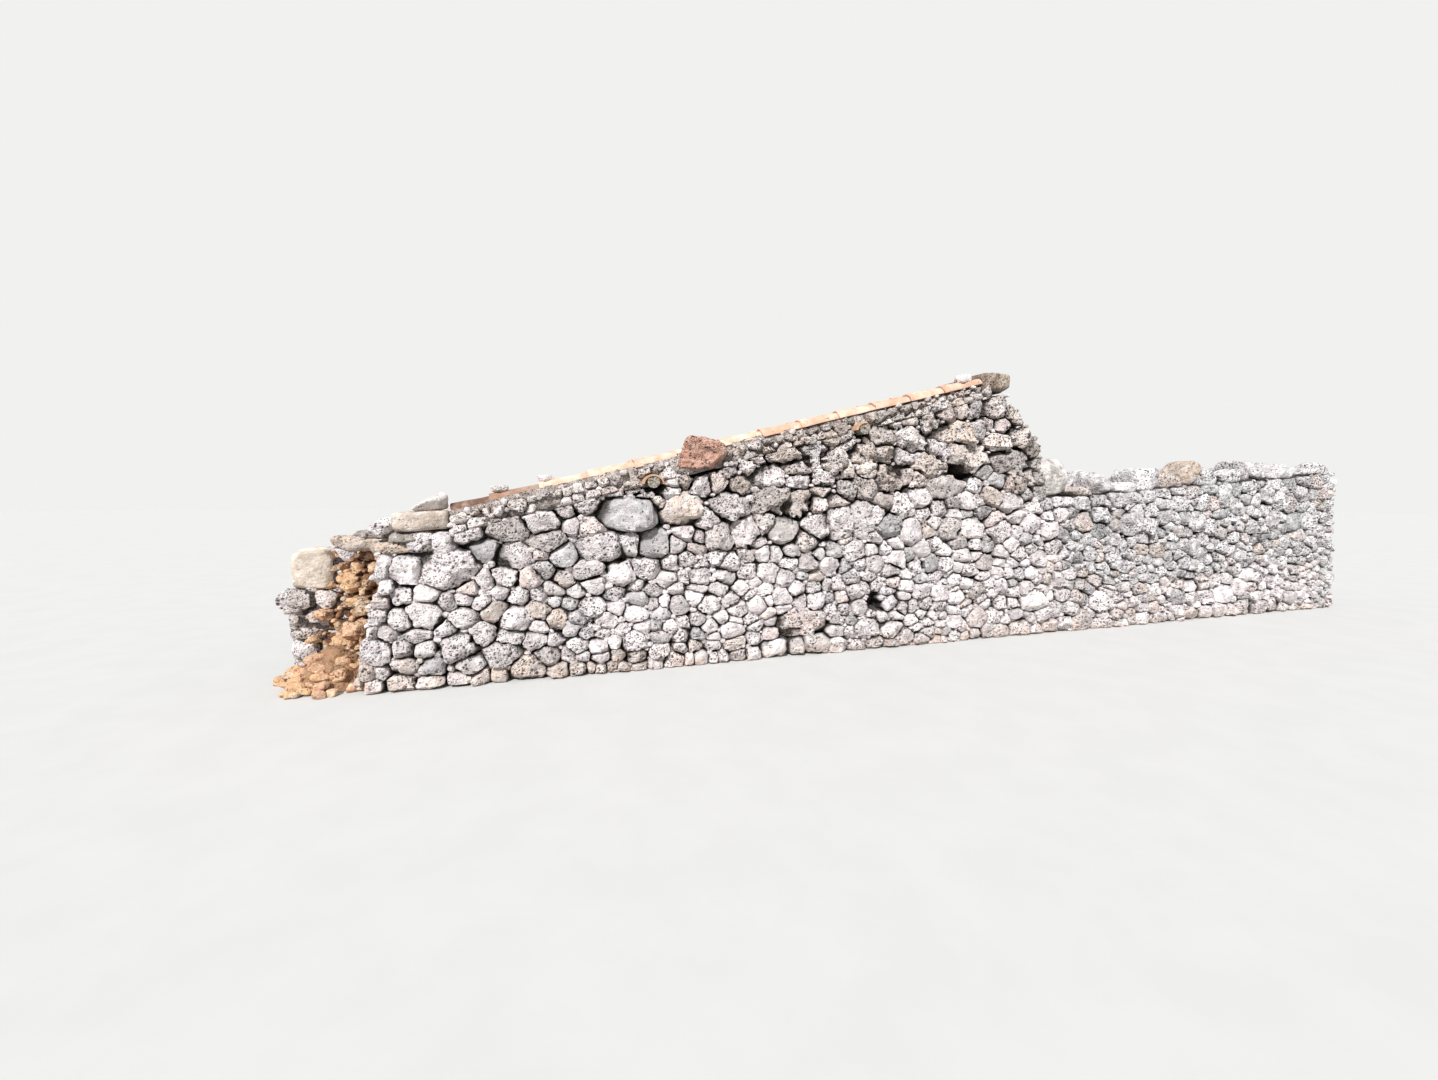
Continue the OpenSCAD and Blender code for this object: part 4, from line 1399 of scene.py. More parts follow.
@dataclass
class Facing:
    """One face of dry stonework: seeds in courses, their outlines and the cut stones."""

    plane: FacePlane
    start: float
    stop: float
    top: Callable[[float], float]
    course: Callable[[float, float], float]
    fences: Callable[[Seed], list[Fence]]
    character: Callable[[Seed, Draws], None]
    limit: Callable[[Rows], Rows | float]
    hidden: Callable[[Rows], Rows | float]
    seed: int
    detail: int = 10
    depth: float = 0.235
    shape: float = 1.38
    pin_share: float = 0.45
    bottom: Callable[[float], float] = always(0.0)
    landmarks: list[Seed] = field(default_factory=list)

    def seeds(self) -> list[Seed]:
        """Lays seeds course by course, leaving room for the landmark stones.

        Returns:
            All the face's seeds.
        """
        rng = np.random.default_rng(self.seed)
        line = np.arange(self.start, self.stop + 0.02, 0.02)
        low = np.array([self.bottom(s) for s in line])
        roof = np.array([self.top(s) for s in line])
        laid: list[Seed] = []
        while np.any(low < roof - 0.02):
            swell = rng.uniform(0.86, 1.2)
            rise = np.array([self.course(s, z) * swell for s, z in zip(line, low)])
            s = self.start - rng.uniform(0.0, 0.1)
            while s < self.stop:
                at = min(len(line) - 1, max(0, int((s - self.start) / 0.02)))
                width = rise[at] * self.shape * rng.uniform(0.5, 1.65)
                at = min(len(line) - 1, max(0, int((s + width / 2 - self.start) / 0.02)))
                if low[at] < roof[at] - 0.45 * rise[at]:
                    z = min(low[at] + rise[at] * (0.5 + rng.normal(0.0, 0.19)), roof[at] - 0.03)
                    laid.append(
                        Seed(s + width / 2, z, 0.5 * math.sqrt(width * rise[at]) * rng.uniform(0.55, 1.45))
                    )
                s += width
            low = low + rise
        kept = [seed for seed in laid if self.has_room(seed)]
        for seed in kept:
            self.character(seed, rng)
        return kept + self.landmarks

    def has_room(self, seed: Seed) -> bool:
        """Tells whether a seed lies on the face and clear of every landmark stone.

        Args:
            seed: The stone's seed.

        Returns:
            Whether it may stay.
        """
        return self.start - 0.05 < seed.s < self.stop + 0.05 and all(
            ((seed.s - stone.s) / (stone.room[0] / 2 + 0.035)) ** 2
            + ((seed.z - stone.z) / (stone.room[1] / 2 + 0.03)) ** 2 > 1.0 for stone in self.landmarks
        )

    def stones(self) -> Iterator[tuple[Seed, list[Point2]]]:
        """Gives each stone's seed with its outline; the seeds of one group make one stone.

        Yields:
            Each stone's seed and outline.
        """
        layout = CellLayout(self.seeds(), self.fences)
        layout.settle(2, 0.42)
        leaders: dict[int, Seed] = {}
        joined: dict[int, list[Point2]] = {}
        for seed, outline in zip(layout.seeds, layout.outlines()):
            if seed.group:
                leaders.setdefault(seed.group, seed)
                joined.setdefault(seed.group, []).extend(outline)
            else:
                yield seed, outline
        for group, points in joined.items():
            yield leaders[group], CellLayout.hull(points)

    def lay(self, batch_of: Callable[[Seed], StoneBatch]) -> int:
        """Cuts every stone, and small pinning stones in the gaps.

        Args:
            batch_of: Gives the batch of the piece that a seed's stone belongs to.

        Returns:
            The number of stones laid.
        """
        cutter = StoneCutter(self.seed + 1, self.depth)
        corners: dict[tuple[int, int], Seed] = {}
        total = 0
        for seed, outline in self.stones():
            if not outline or not seed.stone:
                continue
            for point in outline:
                corners.setdefault(
                    (round(point[0] * 60), round(point[1] * 60)), Seed(point[0], point[1], 0.02, seed.kind),
                )
            detail = self.detail + 2 * (seed.size > 0.085) + 4 * (seed.size > 0.12) - (seed.size < 0.05)
            cutter.cut(batch_of(seed), self.plane, seed, outline, detail, self.limit, self.hidden)
            total += 1
        rng = np.random.default_rng(self.seed + 2)
        for pin in corners.values():
            if rng.uniform() < self.pin_share:
                self.add_pin(cutter, batch_of(pin), pin, rng)
                total += 1
        return total

    def add_pin(self, cutter: StoneCutter, batch: StoneBatch, pin: Seed, rng: Draws) -> None:
        """Sets one small stone back in the gap where stones meet.

        Args:
            cutter: Cuts the stone.
            batch: Takes the stone.
            pin: The small stone's seed.
            rng: Gives the random draws.
        """
        radius = rng.uniform(0.014, 0.036)
        count = 5
        turn = rng.uniform(0.0, 2.0 * math.pi)
        wide = rng.uniform(1.0, 1.5)
        outline = [
            (
                pin.s + radius * wide * math.cos(turn + 2.0 * math.pi * k / count),
                max(0.004, pin.z + radius * math.sin(turn + 2.0 * math.pi * k / count)),
            )
            for k in range(count)
        ]
        pin.outset = -rng.uniform(0.008, 0.032)
        pin.smooth = True
        small = StoneCutter(int(rng.integers(1 << 30)), 0.09, 0.03)
        small.cast = cutter.cast + 1
        cutter.cast += 1
        small.cut(batch, self.plane, pin, outline, 5, self.limit, self.hidden)


@dataclass
class Quarry:
    """Carves single rocks: a block cut by planes, eased, and roughened."""

    seed: int
    noises: dict[float, bpy.types.Texture] = field(default_factory=dict)

    def clouds(self, size: float) -> bpy.types.Texture:
        """Gives a cloud pattern of one grain size, made once.

        Args:
            size: Its grain size.

        Returns:
            The pattern.
        """
        if size not in self.noises:
            texture = bpy.data.textures.new(f"clouds_{int(size * 1000)}", "CLOUDS")
            texture.noise_scale = size
            texture.noise_depth = 3
            self.noises[size] = texture
        return self.noises[size]

    def carve(self, name: str, size: Point3, place: Matrix, kind: StoneKind, cuts: int = 9, fine: int = 15,
              rough: float = 0.07, bite: Point2 = (0.74, 0.93), round_share: float = 0.0) -> Piece:
        """Carves one rock.

        Args:
            name: Its name.
            size: Its length, depth and height.
            place: Puts its middle where it belongs.
            kind: Its tone.
            cuts: How many corners are knocked off.
            fine: Faces along its longest side.
            rough: Height of its bumps as a share of its size.
            bite: How near the middle the cuts lie.
            round_share: How far it is rounded, from 0 to 1.

        Returns:
            The rock, with its place in its mesh.
        """
        self.seed += 1
        rng = np.random.default_rng(self.seed)
        Bench.clear()
        bpy.ops.mesh.primitive_cube_add(size=1.0)
        rock = bpy.context.object
        rock.name = name
        half = np.array(size) / 2.0
        with Bench.editing(rock):
            bpy.ops.transform.resize(value=size)
            for _ in range(cuts):
                way = rng.normal(0.0, 1.0, 3) / half
                way /= np.linalg.norm(way)
                far = float(np.abs(way) @ half) * rng.uniform(*bite)
                Bench.slice(tuple(way * far), tuple(way), use_fill=True, clear_outer=True)
            bpy.ops.mesh.select_all(action="SELECT")
            bpy.ops.mesh.bevel(offset=0.06 * min(size), segments=2, affect="EDGES")
        Bench.modify(rock, "REMESH", mode="VOXEL", voxel_size=max(size) / fine)
        Bench.modify(rock, "SMOOTH", factor=0.5, iterations=2 + int(8 * round_share))
        rock.data.transform(Matrix.Translation(Vector(rng.uniform(-40.0, 40.0, 3))))
        mean = math.pow(size[0] * size[1] * size[2], 1.0 / 3.0)
        for share, height in ((0.6, rough), (0.22, rough * 0.55)):
            texture = self.clouds(round(share * mean, 3))
            Bench.modify(rock, "DISPLACE", texture=texture, texture_coords="LOCAL", strength=height * mean)
        rows = Bench.points(rock)
        rows -= (rows.max(axis=0) + rows.min(axis=0)) / 2.0
        rows *= np.array(size) / (rows.max(axis=0) - rows.min(axis=0))
        Bench.move(rock, rows)
        rock.data.transform(place)
        Bench.smooth(rock)
        grey, tan, pink, dark = kind.value
        mark(rock, "tone", float(np.clip(rng.uniform(0.55, 0.9) - 0.4 * dark, 0.0, 1.0)))
        mark(rock, "cast", float(rng.uniform(0.0, 0.75)))
        # Carved rocks get no painted joint shade
        mark(rock, "shade_and_earth_share", 0.0)
        mark(rock, "blend", (grey, tan, pink))
        return rock

    @staticmethod
    def slope(rock: Piece, way: float, drop: float) -> None:
        """Lowers a rock towards one end.

        Args:
            rock: The rock to work on.
            way: 1 for its right end, -1 for its left.
            drop: How far that end sinks.
        """
        rows = Bench.points(rock)
        low, high = rows.min(axis=0), rows.max(axis=0)
        share = 0.5 + way * ((rows[:, 0] - low[0]) / (high[0] - low[0]) - 0.5)
        rows[:, 2] = low[2] + (rows[:, 2] - low[2]) * (1.0 - drop * share * share)
        Bench.move(rock, rows)

    @staticmethod
    def level(rock: Piece, height: float) -> None:
        """Flattens what lies below a height, so that a rock beds on what carries it.

        Args:
            rock: The rock to work on.
            height: The height, in the rock's own frame.
        """
        rows = Bench.points(rock)
        rows[:, 2] = np.maximum(rows[:, 2], height)
        Bench.move(rock, rows)


def turned(angles: Point3) -> Matrix:
    """Builds a turning matrix from angles in degrees."""
    return Euler([math.radians(angle) for angle in angles]).to_matrix().to_4x4()


def at_place(where: Vector, turn: Point3 = (0.0, 0.0, 0.0)) -> Matrix:
    """Builds a placing matrix from a place and turns in degrees."""
    return Matrix.Translation(where) @ turned(turn)


@dataclass
class Trade:
    """What each trade at work on the wall is handed: the wall's sizes, the finishes and the quarry."""

    form: WallForm
    rack: FinishRack
    quarry: Quarry

    def settle(self, name: str, parts: list[Piece], node: str, slot: str, finish: object) -> None:
        """Joins finished parts, dresses them, makes them ride, and lets them stand for their node.

        Args:
            name: The joined piece's name.
            parts: The finished parts.
            node: The node that the piece replaces; empty where it only stands beside the others.
            slot: A material slot's name; not used.
            finish: What the piece looks like.
        """
        piece = Bench.join(name, parts)
        self.rack.dress(piece, finish)
        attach(piece, "root")
        if node:
            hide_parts(node)
        log.info("%s: %d faces", piece.name, len(piece.data.polygons))


@dataclass
class Masonry(Trade):
    """Both faces of the wall and its built and broken ends, stone by stone."""

    batches: dict[str, StoneBatch] = field(default_factory=dict)
    stretch_one: float = 1.750
    stretch_two: float = 3.750
    rough_limit: float = 0.024

    def batch(self, node: str) -> StoneBatch:
        """Gives the batch that stands for a node."""
        return self.batches.setdefault(node, StoneBatch())

    def node_at(self, side: str, s: float, z: float) -> str:
        """Names the node that holds a stone on one side of the wall.

        Args:
            side: The face: "front" or "back".
            s: Place along the wall, from its left end.
            z: Height above the base.

        Returns:
            The node's name.
        """
        form = self.form
        if s > form.field_stop:
            return "field_end"
        if z < form.footing_top(s) and s > form.footing_start:
            return f"{side}_footing"
        if s >= form.field_start:
            return f"field_{side}_{1 + int((s - form.field_start) / form.bay)}"
        if s > form.ridge_stop and z > form.field_height:
            return "stepped_end"
        stretch = "left" if s < self.stretch_one else "middle" if s < self.stretch_two else "right"
        return f"{side}_face_{stretch}"

    def limit(self, heights: Rows) -> Rows:
        """How far a stone may stand out of a leaning face, so that the wall keeps its size."""
        return self.form.lean * heights + self.rough_limit

    def hidden(self, rows: Rows, side: str) -> Rows:
        """Tells the joints inside a long face, which get painted shade, from its free ends.

        Args:
            rows: The points.
            side: The face: "front" or "back".

        Returns:
            1 for each hidden point, else 0.
        """
        form = self.form
        s, z = rows[:, 0], rows[:, 1]
        free = s > form.right - 0.11
        if side == "front":
            free |= (s < form.shoulder_start * z + 0.10) & (z < form.shoulder + 0.02)
        else:
            free |= s < form.left + 0.12
        slope = (form.steps_stop - form.ridge_stop) / (form.steps_top - form.steps_foot)
        free |= (z > form.field_height + 0.02) & (
            s > form.steps_stop - 0.10 - slope * np.maximum(0.0, z - form.steps_foot)
        ) & (s < form.field_start)
        return 1.0 - free

    def course(self, s: float, z: float) -> float:
        """Height of a course of face stones at a place.

        Args:
            s: Place along the wall, from its left end.
            z: Height above the base.

        Returns:
            The course's height.
        """
        above = z - self.form.ground(s)
        if above < -0.01:
            return self.form.footing_rise * (1.15 + 0.30 * math.sin(2.3 * s) + 0.22 * math.sin(5.9 * s + 1.0))
        tall = 0.099 + 0.047 * ease(above, 0.72, 1.15)
        tall += 0.022 * ease(1.7 - s, 0.0, 1.2) + 0.016 * ease(z - self.form.face_top(s) + 0.7, 0.0, 0.5)
        return tall

    def rugged(self, s: float, z: float) -> float:
        """How rugged and porous the stones are: most so under the upper part of the rake.

        Args:
            s: Place along the wall, from its left end.
            z: Height above the base.

        Returns:
            From 0, smooth, to 1.
        """
        form = self.form
        if s > form.steps_stop + 0.1:
            return 0.0
        below = form.face_top(min(s, form.ridge_stop - 0.01)) - z
        calmer = 1.0 - 0.45 * ease(s, form.ridge_stop - 0.1, form.steps_stop)
        return (1.0 - ease(below, 0.45, 1.0)) * ease(s, 1.6, 3.4) * calmer

    def character(self, seed: Seed, rng: Draws) -> None:
        """Chooses a stone's kind by where it lies.

        Args:
            seed: The stone's seed.
            rng: Gives the random draws.
        """
        form = self.form
        draw = rng.uniform()
        seed.rugged = self.rugged(seed.s, seed.z) * rng.uniform(0.6, 1.0)
        low_left = ease(2.6 - seed.s, 0.0, 1.4) * ease(form.ground(seed.s) + 0.22 - seed.z, 0.0, 0.2)
        upper = seed.rugged > 0.4
        if seed.z < form.ground(seed.s) + 0.02:
            seed.size *= 1.0 + 0.38 * math.sin(23.0 * seed.s) + 0.16 * math.sin(61.0 * seed.s + 2.0)
        shares = (0.12, 0.28, 0.40, 0.45, 0.76) if upper else (0.03, 0.09, 0.16, 0.26, 0.50)
        if rng.uniform() < 0.5 * low_left:
            seed.kind = StoneKind.TAN
        elif seed.s > form.field_start:
            kinds = (StoneKind.GREY, StoneKind.PINK, StoneKind.TAN, StoneKind.WHITE)
            seed.kind = next(
                (kind for kind, share in zip(kinds, (0.08, 0.2, 0.26, 0.6)) if draw < share), StoneKind.PALE,
            )
        else:
            kinds = (StoneKind.DARK, StoneKind.TAN, StoneKind.PINK, StoneKind.GREY, StoneKind.WHITE)
            seed.kind = next((kind for kind, share in zip(kinds, shares) if draw < share), StoneKind.PALE)
        seed.smooth = rng.uniform() < 0.12 and not upper

    def fences(self, seed: Seed, side: str) -> list[Fence]:
        """Fences a seed in at the base, the top and the ends of its face.

        Args:
            seed: The stone's seed.
            side: The face: "front" or "back".

        Returns:
            The half-planes that hold its outline.
        """
        form = self.form
        s, z = seed.s, seed.z
        fences: list[Fence] = [(0.0, -1.0, 0.0)]
        ragged = 0.026 * math.sin(97.0 * z + 61.0 * s)
        foot = form.rake_point(form.bed_start, 0.0)[0] + 0.02
        if side == "front" and s < 1.2 and z < form.shoulder:
            fences.append((-1.0, form.shoulder_start, -ragged))
        if side == "back":
            if z < form.shoulder and s < 0.6:
                fences.append((-1.0, 0.0, -form.left - 0.022 - ragged))
            if s < form.block_right + 0.12 and z < form.block_seat + 0.02:
                fences.append((0.0, 1.0, form.block_seat))
            elif s < form.block_right + 0.3 and z < form.shoulder:
                fences.append((-1.0, 0.0, -form.block_right))
        if z < form.shoulder and s < foot + 0.2:
            fences.append((0.0, 1.0, form.shoulder))
        elif z >= form.shoulder and s < foot + 0.6:
            fences.append((-1.0, 0.0, -foot))
        slope = math.tan(form.rake)
        if z > 0.6 and s < form.ridge_stop + 0.3:
            fences.append((-slope, 1.0, form.bed_under(0.0) - 0.085))
            fences.append((0.0, 1.0, form.steps_top))
        if z > form.field_height and form.ridge_stop - 0.4 < s < form.field_start:
            fall = (form.steps_top - form.steps_foot) / (form.steps_stop - form.ridge_stop)
            fences.append((fall, 1.0, form.steps_top + fall * form.ridge_stop + ragged))
            fences.append((1.0, 0.0, form.steps_stop + ragged))
        elif form.steps_stop - 0.02 < s < form.field_start:
            fences.append((0.0, 1.0, form.field_height))
        if s >= form.field_start - 0.02:
            rise = math.tan(form.field_rise)
            fences.append((-rise, 1.0, form.field_height - rise * form.field_start))
            fences.append((1.0, 0.0, form.right))
        return fences

    def landmarks(self) -> list[Seed]:
        """Stones and holes of the front face that catch the eye, at their place and size.

        Returns:
            Their seeds.
        """
        kinds = StoneKind
        rows = [
            (0.30, 0.89, 0.22, 0.19, kinds.WHITE, 0.0), (0.62, 0.89, 0.38, 0.30, kinds.PALE, 0.02),
            (0.86, 1.02, 0.14, 0.21, kinds.GREY, 0.0), (1.07, 0.96, 0.29, 0.21, kinds.PALE, 0.0),
            (1.44, 0.95, 0.21, 0.21, kinds.GREY, 0.0), (1.70, 1.00, 0.31, 0.18, kinds.PALE, 0.0),
            (1.03, 1.18, 0.34, 0.20, kinds.DARK, 0.01), (1.93, 1.29, 0.47, 0.29, kinds.GREY, 0.025),
            (2.14, 1.02, 0.26, 0.23, kinds.GREY, 0.0), (2.38, 1.29, 0.30, 0.22, kinds.TAN, 0.015),
            (3.28, 1.10, 0.27, 0.22, kinds.GREY, 0.0), (3.25, 1.80, 0.36, 0.22, kinds.DARK, 0.03),
            (3.63, 1.98, 0.36, 0.23, kinds.DARK, 0.01), (3.78, 1.70, 0.22, 0.16, kinds.WHITE, 0.03),
            (4.17, 1.80, 0.44, 0.26, kinds.DARK, 0.04), (3.84, 1.17, 0.18, 0.29, kinds.PALE, 0.01),
            (4.04, 1.18, 0.18, 0.29, kinds.PALE, 0.01), (3.46, 0.28, 0.45, 0.27, kinds.PINK, 0.0),
            (5.04, 2.00, 0.44, 0.20, kinds.WHITE, 0.02), (5.84, 1.98, 0.34, 0.17, kinds.WHITE, 0.02),
            (5.28, 1.77, 0.28, 0.24, kinds.WHITE, 0.015), (5.72, 1.74, 0.44, 0.24, kinds.DARK, 0.01),
            (4.77, 1.68, 0.21, 0.25, kinds.WHITE, 0.01), (5.80, 2.20, 0.26, 0.15, kinds.WHITE, 0.01),
            (2.90, 1.52, 0.20, 0.17, kinds.TAN, 0.01), (4.95, 1.50, 0.34, 0.22, kinds.DARK, 0.01),
            (0.98, 0.22, 0.26, 0.20, kinds.PALE, 0.0), (0.66, 0.30, 0.24, 0.24, kinds.PALE, 0.0),
        ]
        found = []
        for group, (s, z, wide, tall, kind, out) in enumerate(rows, start=1):
            across, up = max(1, round(wide / tall)), max(1, round(tall / wide))
            part, high = wide / across, tall / up
            for index in range(across * up):
                found.append(Seed(
                    s + part * (index % across - 0.5 * (across - 1)),
                    z + high * (index // across - 0.5 * (up - 1)),
                    0.53 * math.sqrt(part * high), kind, fixed=True, outset=out, smooth=kind is kinds.GREY,
                    rugged=self.rugged(s, z), group=group, room=(part, high),
                ))
        for s, z, wide, tall in ((4.19, 0.43, 0.15, 0.10), (5.09, 1.60, 0.10, 0.07)):
            found.append(Seed(s, z, 0.5 * math.sqrt(wide * tall), fixed=True, stone=False, room=(wide, tall)))
        return found

    def quoins(self) -> list[Seed]:
        """Bigger whitish stones that finish the back skin's free end.

        Returns:
            Their seeds.
        """
        rows = (
            (-0.56, 0.09, 0.25, 0.17), (-0.59, 0.26, 0.21, 0.16), (-0.55, 0.43, 0.27, 0.18),
            (-0.58, 0.60, 0.22, 0.15),
            (-0.33, 0.20, 0.19, 0.16), (-0.31, 0.58, 0.20, 0.17),
        )
        kinds = (StoneKind.PALE, StoneKind.WHITE)
        return [
            Seed(s, z, 0.5 * math.sqrt(wide * tall) * 1.06, kinds[index % 2], fixed=True, room=(wide, tall))
            for index, (s, z, wide, tall) in enumerate(rows)
        ]

    def openings(self, side: str) -> list[Seed]:
        """Places in a face that the logs and the red boulder fill, each ringed with small stones.

        Args:
            side: The face: "front" or "back".

        Returns:
            The openings' seeds and those of the stones round them.
        """
        form, front = self.form, side == "front"
        found: list[Seed] = []
        for s in form.log_places:
            z, radius = (form.arch_height(s) + 0.01, 0.098) if front else (form.log_height(s), 0.062)
            found.append(Seed(s, z, radius, fixed=True, stone=False, room=(2 * radius, 2 * radius)))
            found += self.ring(s, z, radius + 0.052, radius + 0.052)
        if front:
            s, z = form.rake_point(5.5 * form.exposure, -0.10)
            for shift in (-0.09, 0.09):
                at_z = z + shift * math.tan(form.rake)
                found.append(Seed(s + shift, at_z, 0.10, fixed=True, stone=False, room=(0.20, 0.14)))
            found += self.ring(s, z, 0.245, 0.155)
        return found

    def add_main_stones(self, seeds: list[Seed], draw: int) -> None:
        """Adds the net of main stones wherever no landmark or opening has taken the room.

        Args:
            seeds: The seeds to add to.
            draw: Picks the random draws.
        """
        rng = np.random.default_rng(draw)
        for s, z, wide, tall in self.form.main_stones():
            if all(
                abs(s - other.s) > 0.42 * (wide + other.room[0])
                or abs(z - other.z) > 0.42 * (tall + other.room[1])
                for other in seeds
            ):
                size = 0.5 * math.sqrt(wide * tall)
                seed = Seed(s, z, size, fixed=True, outset=0.010, room=(wide * 0.8, tall * 0.8))
                self.character(seed, rng)
                seeds.append(seed)

    def ring(self, s: float, z: float, wide: float, tall: float) -> Iterator[Seed]:
        """Sets small stones close round an opening.

        Args:
            s: Place of the opening's middle.
            z: Height of the opening's middle.
            wide: Half the ring's width.
            tall: Half the ring's height.

        Yields:
            The stones' seeds.
        """
        kinds = (StoneKind.PALE, StoneKind.TAN, StoneKind.WHITE, StoneKind.PINK, StoneKind.DARK)
        count = max(6, round(math.pi * (wide + tall) / 0.12))
        for index in range(count):
            turn = 2.0 * math.pi * (index + 0.3) / count
            at_s, at_z = s + wide * math.cos(turn), z + tall * math.sin(turn)
            if at_z < self.form.face_top(at_s) - 0.015:
                yield Seed(at_s, at_z, 0.05, kinds[index % 5], fixed=True, rugged=0.4, room=(0.06, 0.06))

    def facing(self, side: str) -> Facing:
        """Sets out one long face.

        Args:
            side: The face: "front" or "back".

        Returns:
            The facing.
        """
        form, front = self.form, side == "front"
        seeds = self.openings(side) + (self.landmarks() if front else self.quoins())
        self.add_main_stones(seeds, 5 if front else 6)
        sign = 1.0 if front else -1.0
        plane = FacePlane(
            (-form.centre, -sign * form.mid, 0.0), (1.0, 0.0, 0.0), (0.0, sign * form.lean, 1.0),
            (0.0, -sign, 0.0),
        )
        return Facing(
            plane, 0.0 if front else form.left + 0.02, form.right, form.face_top, self.course,
            lambda seed: self.fences(seed, side), self.character, self.limit,
            lambda rows: self.hidden(rows, side),
            11 if front else 47, detail=9 if front else 6, landmarks=seeds,
        )

    def exposed_filling(self) -> Facing:
        """Sets out the rubble of the broken end, slantwise from skin to skin.

        Returns:
            The facing.
        """
        form = self.form
        corner = np.array([form.exposed_left, form.thick - form.skin])
        run = np.array([0.075, form.skin - 0.03]) - corner
        length = float(np.linalg.norm(run))
        along = run / length
        out = np.array([along[1], -along[0]])
        plane = FacePlane(
            (corner[0] - form.centre, corner[1] - form.mid, 0.0), (along[0], along[1], 0.0),
            (-0.16 * out[0], -0.16 * out[1], 1.0), (out[0], out[1], 0.0),
        )

        def character(seed: Seed, rng: Draws) -> None:
            """Chooses the rubble's tone and how far a stone stands out of the earth."""
            seed.kind = rng.choice(
                [StoneKind.OCHRE, StoneKind.OCHRE, StoneKind.PALE, StoneKind.PINK, StoneKind.GREY]
            )
            seed.outset = rng.uniform(-0.05, 0.05)
            seed.size *= rng.uniform(0.6, 1.5)
            seed.rugged = 0.9

        return Facing(
            plane, 0.0, length, always(form.shoulder), always(0.086),
            lambda seed: box_fences(0.0, length, 0.0, form.shoulder), character, always(0.08), always(1.0),
            83,
            detail=8, depth=0.11, shape=1.4, pin_share=0.7,
        )

    def cross_face(self, x_at: float, slope: float, foot: float, top: float, seed: int) -> Facing:
        """Sets out the stones between the skins at an end that looks along the wall.

        Args:
            x_at: Place along the wall of the face's foot.
            slope: How far the face leans back for each metre of height.
            foot: Height of its foot.
            top: Height of its top.
            seed: Picks the random draws.

        Returns:
            The facing.
        """
        form = self.form
        inner = form.skin - 0.02
        plane = FacePlane(
            (x_at - form.centre, -form.mid, 0.0), (0.0, 1.0, 0.0), (-slope, 0.0, 1.0), (1.0, 0.0, 0.0),
        )
        fences = [
            (0.0, -1.0, -foot), (0.0, 1.0, top), (-1.0, form.lean, -inner),
            (1.0, form.lean, form.thick - inner),
        ]
        return Facing(
            plane, inner + form.lean * foot, form.thick - inner - form.lean * foot, always(top), always(0.15),
            lambda stone: fences, self.character, always(0.02), always(0.6), seed,
            detail=8, depth=0.26, pin_share=0.2, bottom=always(foot),
        )

    def inner_face(self) -> Facing:
        """Sets out the inner side of the back skin, where the filling has fallen away.

        Returns:
            The facing.
        """
        form = self.form
        plane = FacePlane(
            (-form.centre, form.mid - form.skin, 0.0), (1.0, 0.0, 0.0), (0.0, -form.lean, 1.0),
            (0.0, -1.0, 0.0),
        )
        start, stop = form.left + 0.03, form.left + 0.62

        def top(s: float, past: float = 0.0) -> float:
            """Height of what lies on the skin: the block, or the slabs past it."""
            return form.block_seat if s < form.block_right + past else form.shoulder

        def character(seed: Seed, rng: Draws) -> None:
            """Makes the stones whitish, earthy in places."""
            seed.kind = rng.choice([StoneKind.PALE, StoneKind.WHITE, StoneKind.TAN, StoneKind.PALE])
            seed.rugged = 0.4

        return Facing(
            plane, start, stop, top, always(0.13),
            lambda seed: box_fences(start, stop, 0.0, top(seed.s, 0.02)),
            character, always(0.03), always(0.7), 97, detail=8, depth=0.12, pin_share=0.4,
        )

    def build(self) -> None:
        """Lays every face, joins the stones of each node and dresses them."""
        form = self.form
        for side in ("front", "back"):
            self.facing(side).lay(lambda seed, side=side: self.batch(self.node_at(side, seed.s, seed.z)))
        fall = (form.steps_stop - form.ridge_stop) / (form.steps_top - form.steps_foot)
        foot = form.steps_stop + fall * form.steps_foot
        ends = (
            (self.exposed_filling(), "exposed_hearting"), (self.inner_face(), "back_face_left"),
            (self.cross_face(foot, fall, form.steps_foot - 0.02, form.steps_top, 71), "stepped_end"),
            (self.cross_face(form.steps_stop, 0.0, form.field_height, form.steps_foot, 73), "stepped_end"),
            (self.cross_face(form.right, 0.0, 0.0, form.field_top(form.right) - 0.01, 79), "field_end"),
        )
        for facing, node in ends:
            facing.lay(lambda seed, node=node: self.batch(node))
        for node, batch in self.batches.items():
            finish = FIELD_STONE if node.startswith("field") else LIMESTONE
            finish = {"stepped_end": RUGGED_STONE, "exposed_hearting": RUBBLE_STONE}.get(node, finish)
            slot = "hearting" if node == "exposed_hearting" else "limestone"
            self.settle(f"{node}_stones", [batch.build(node)], node, slot, finish)


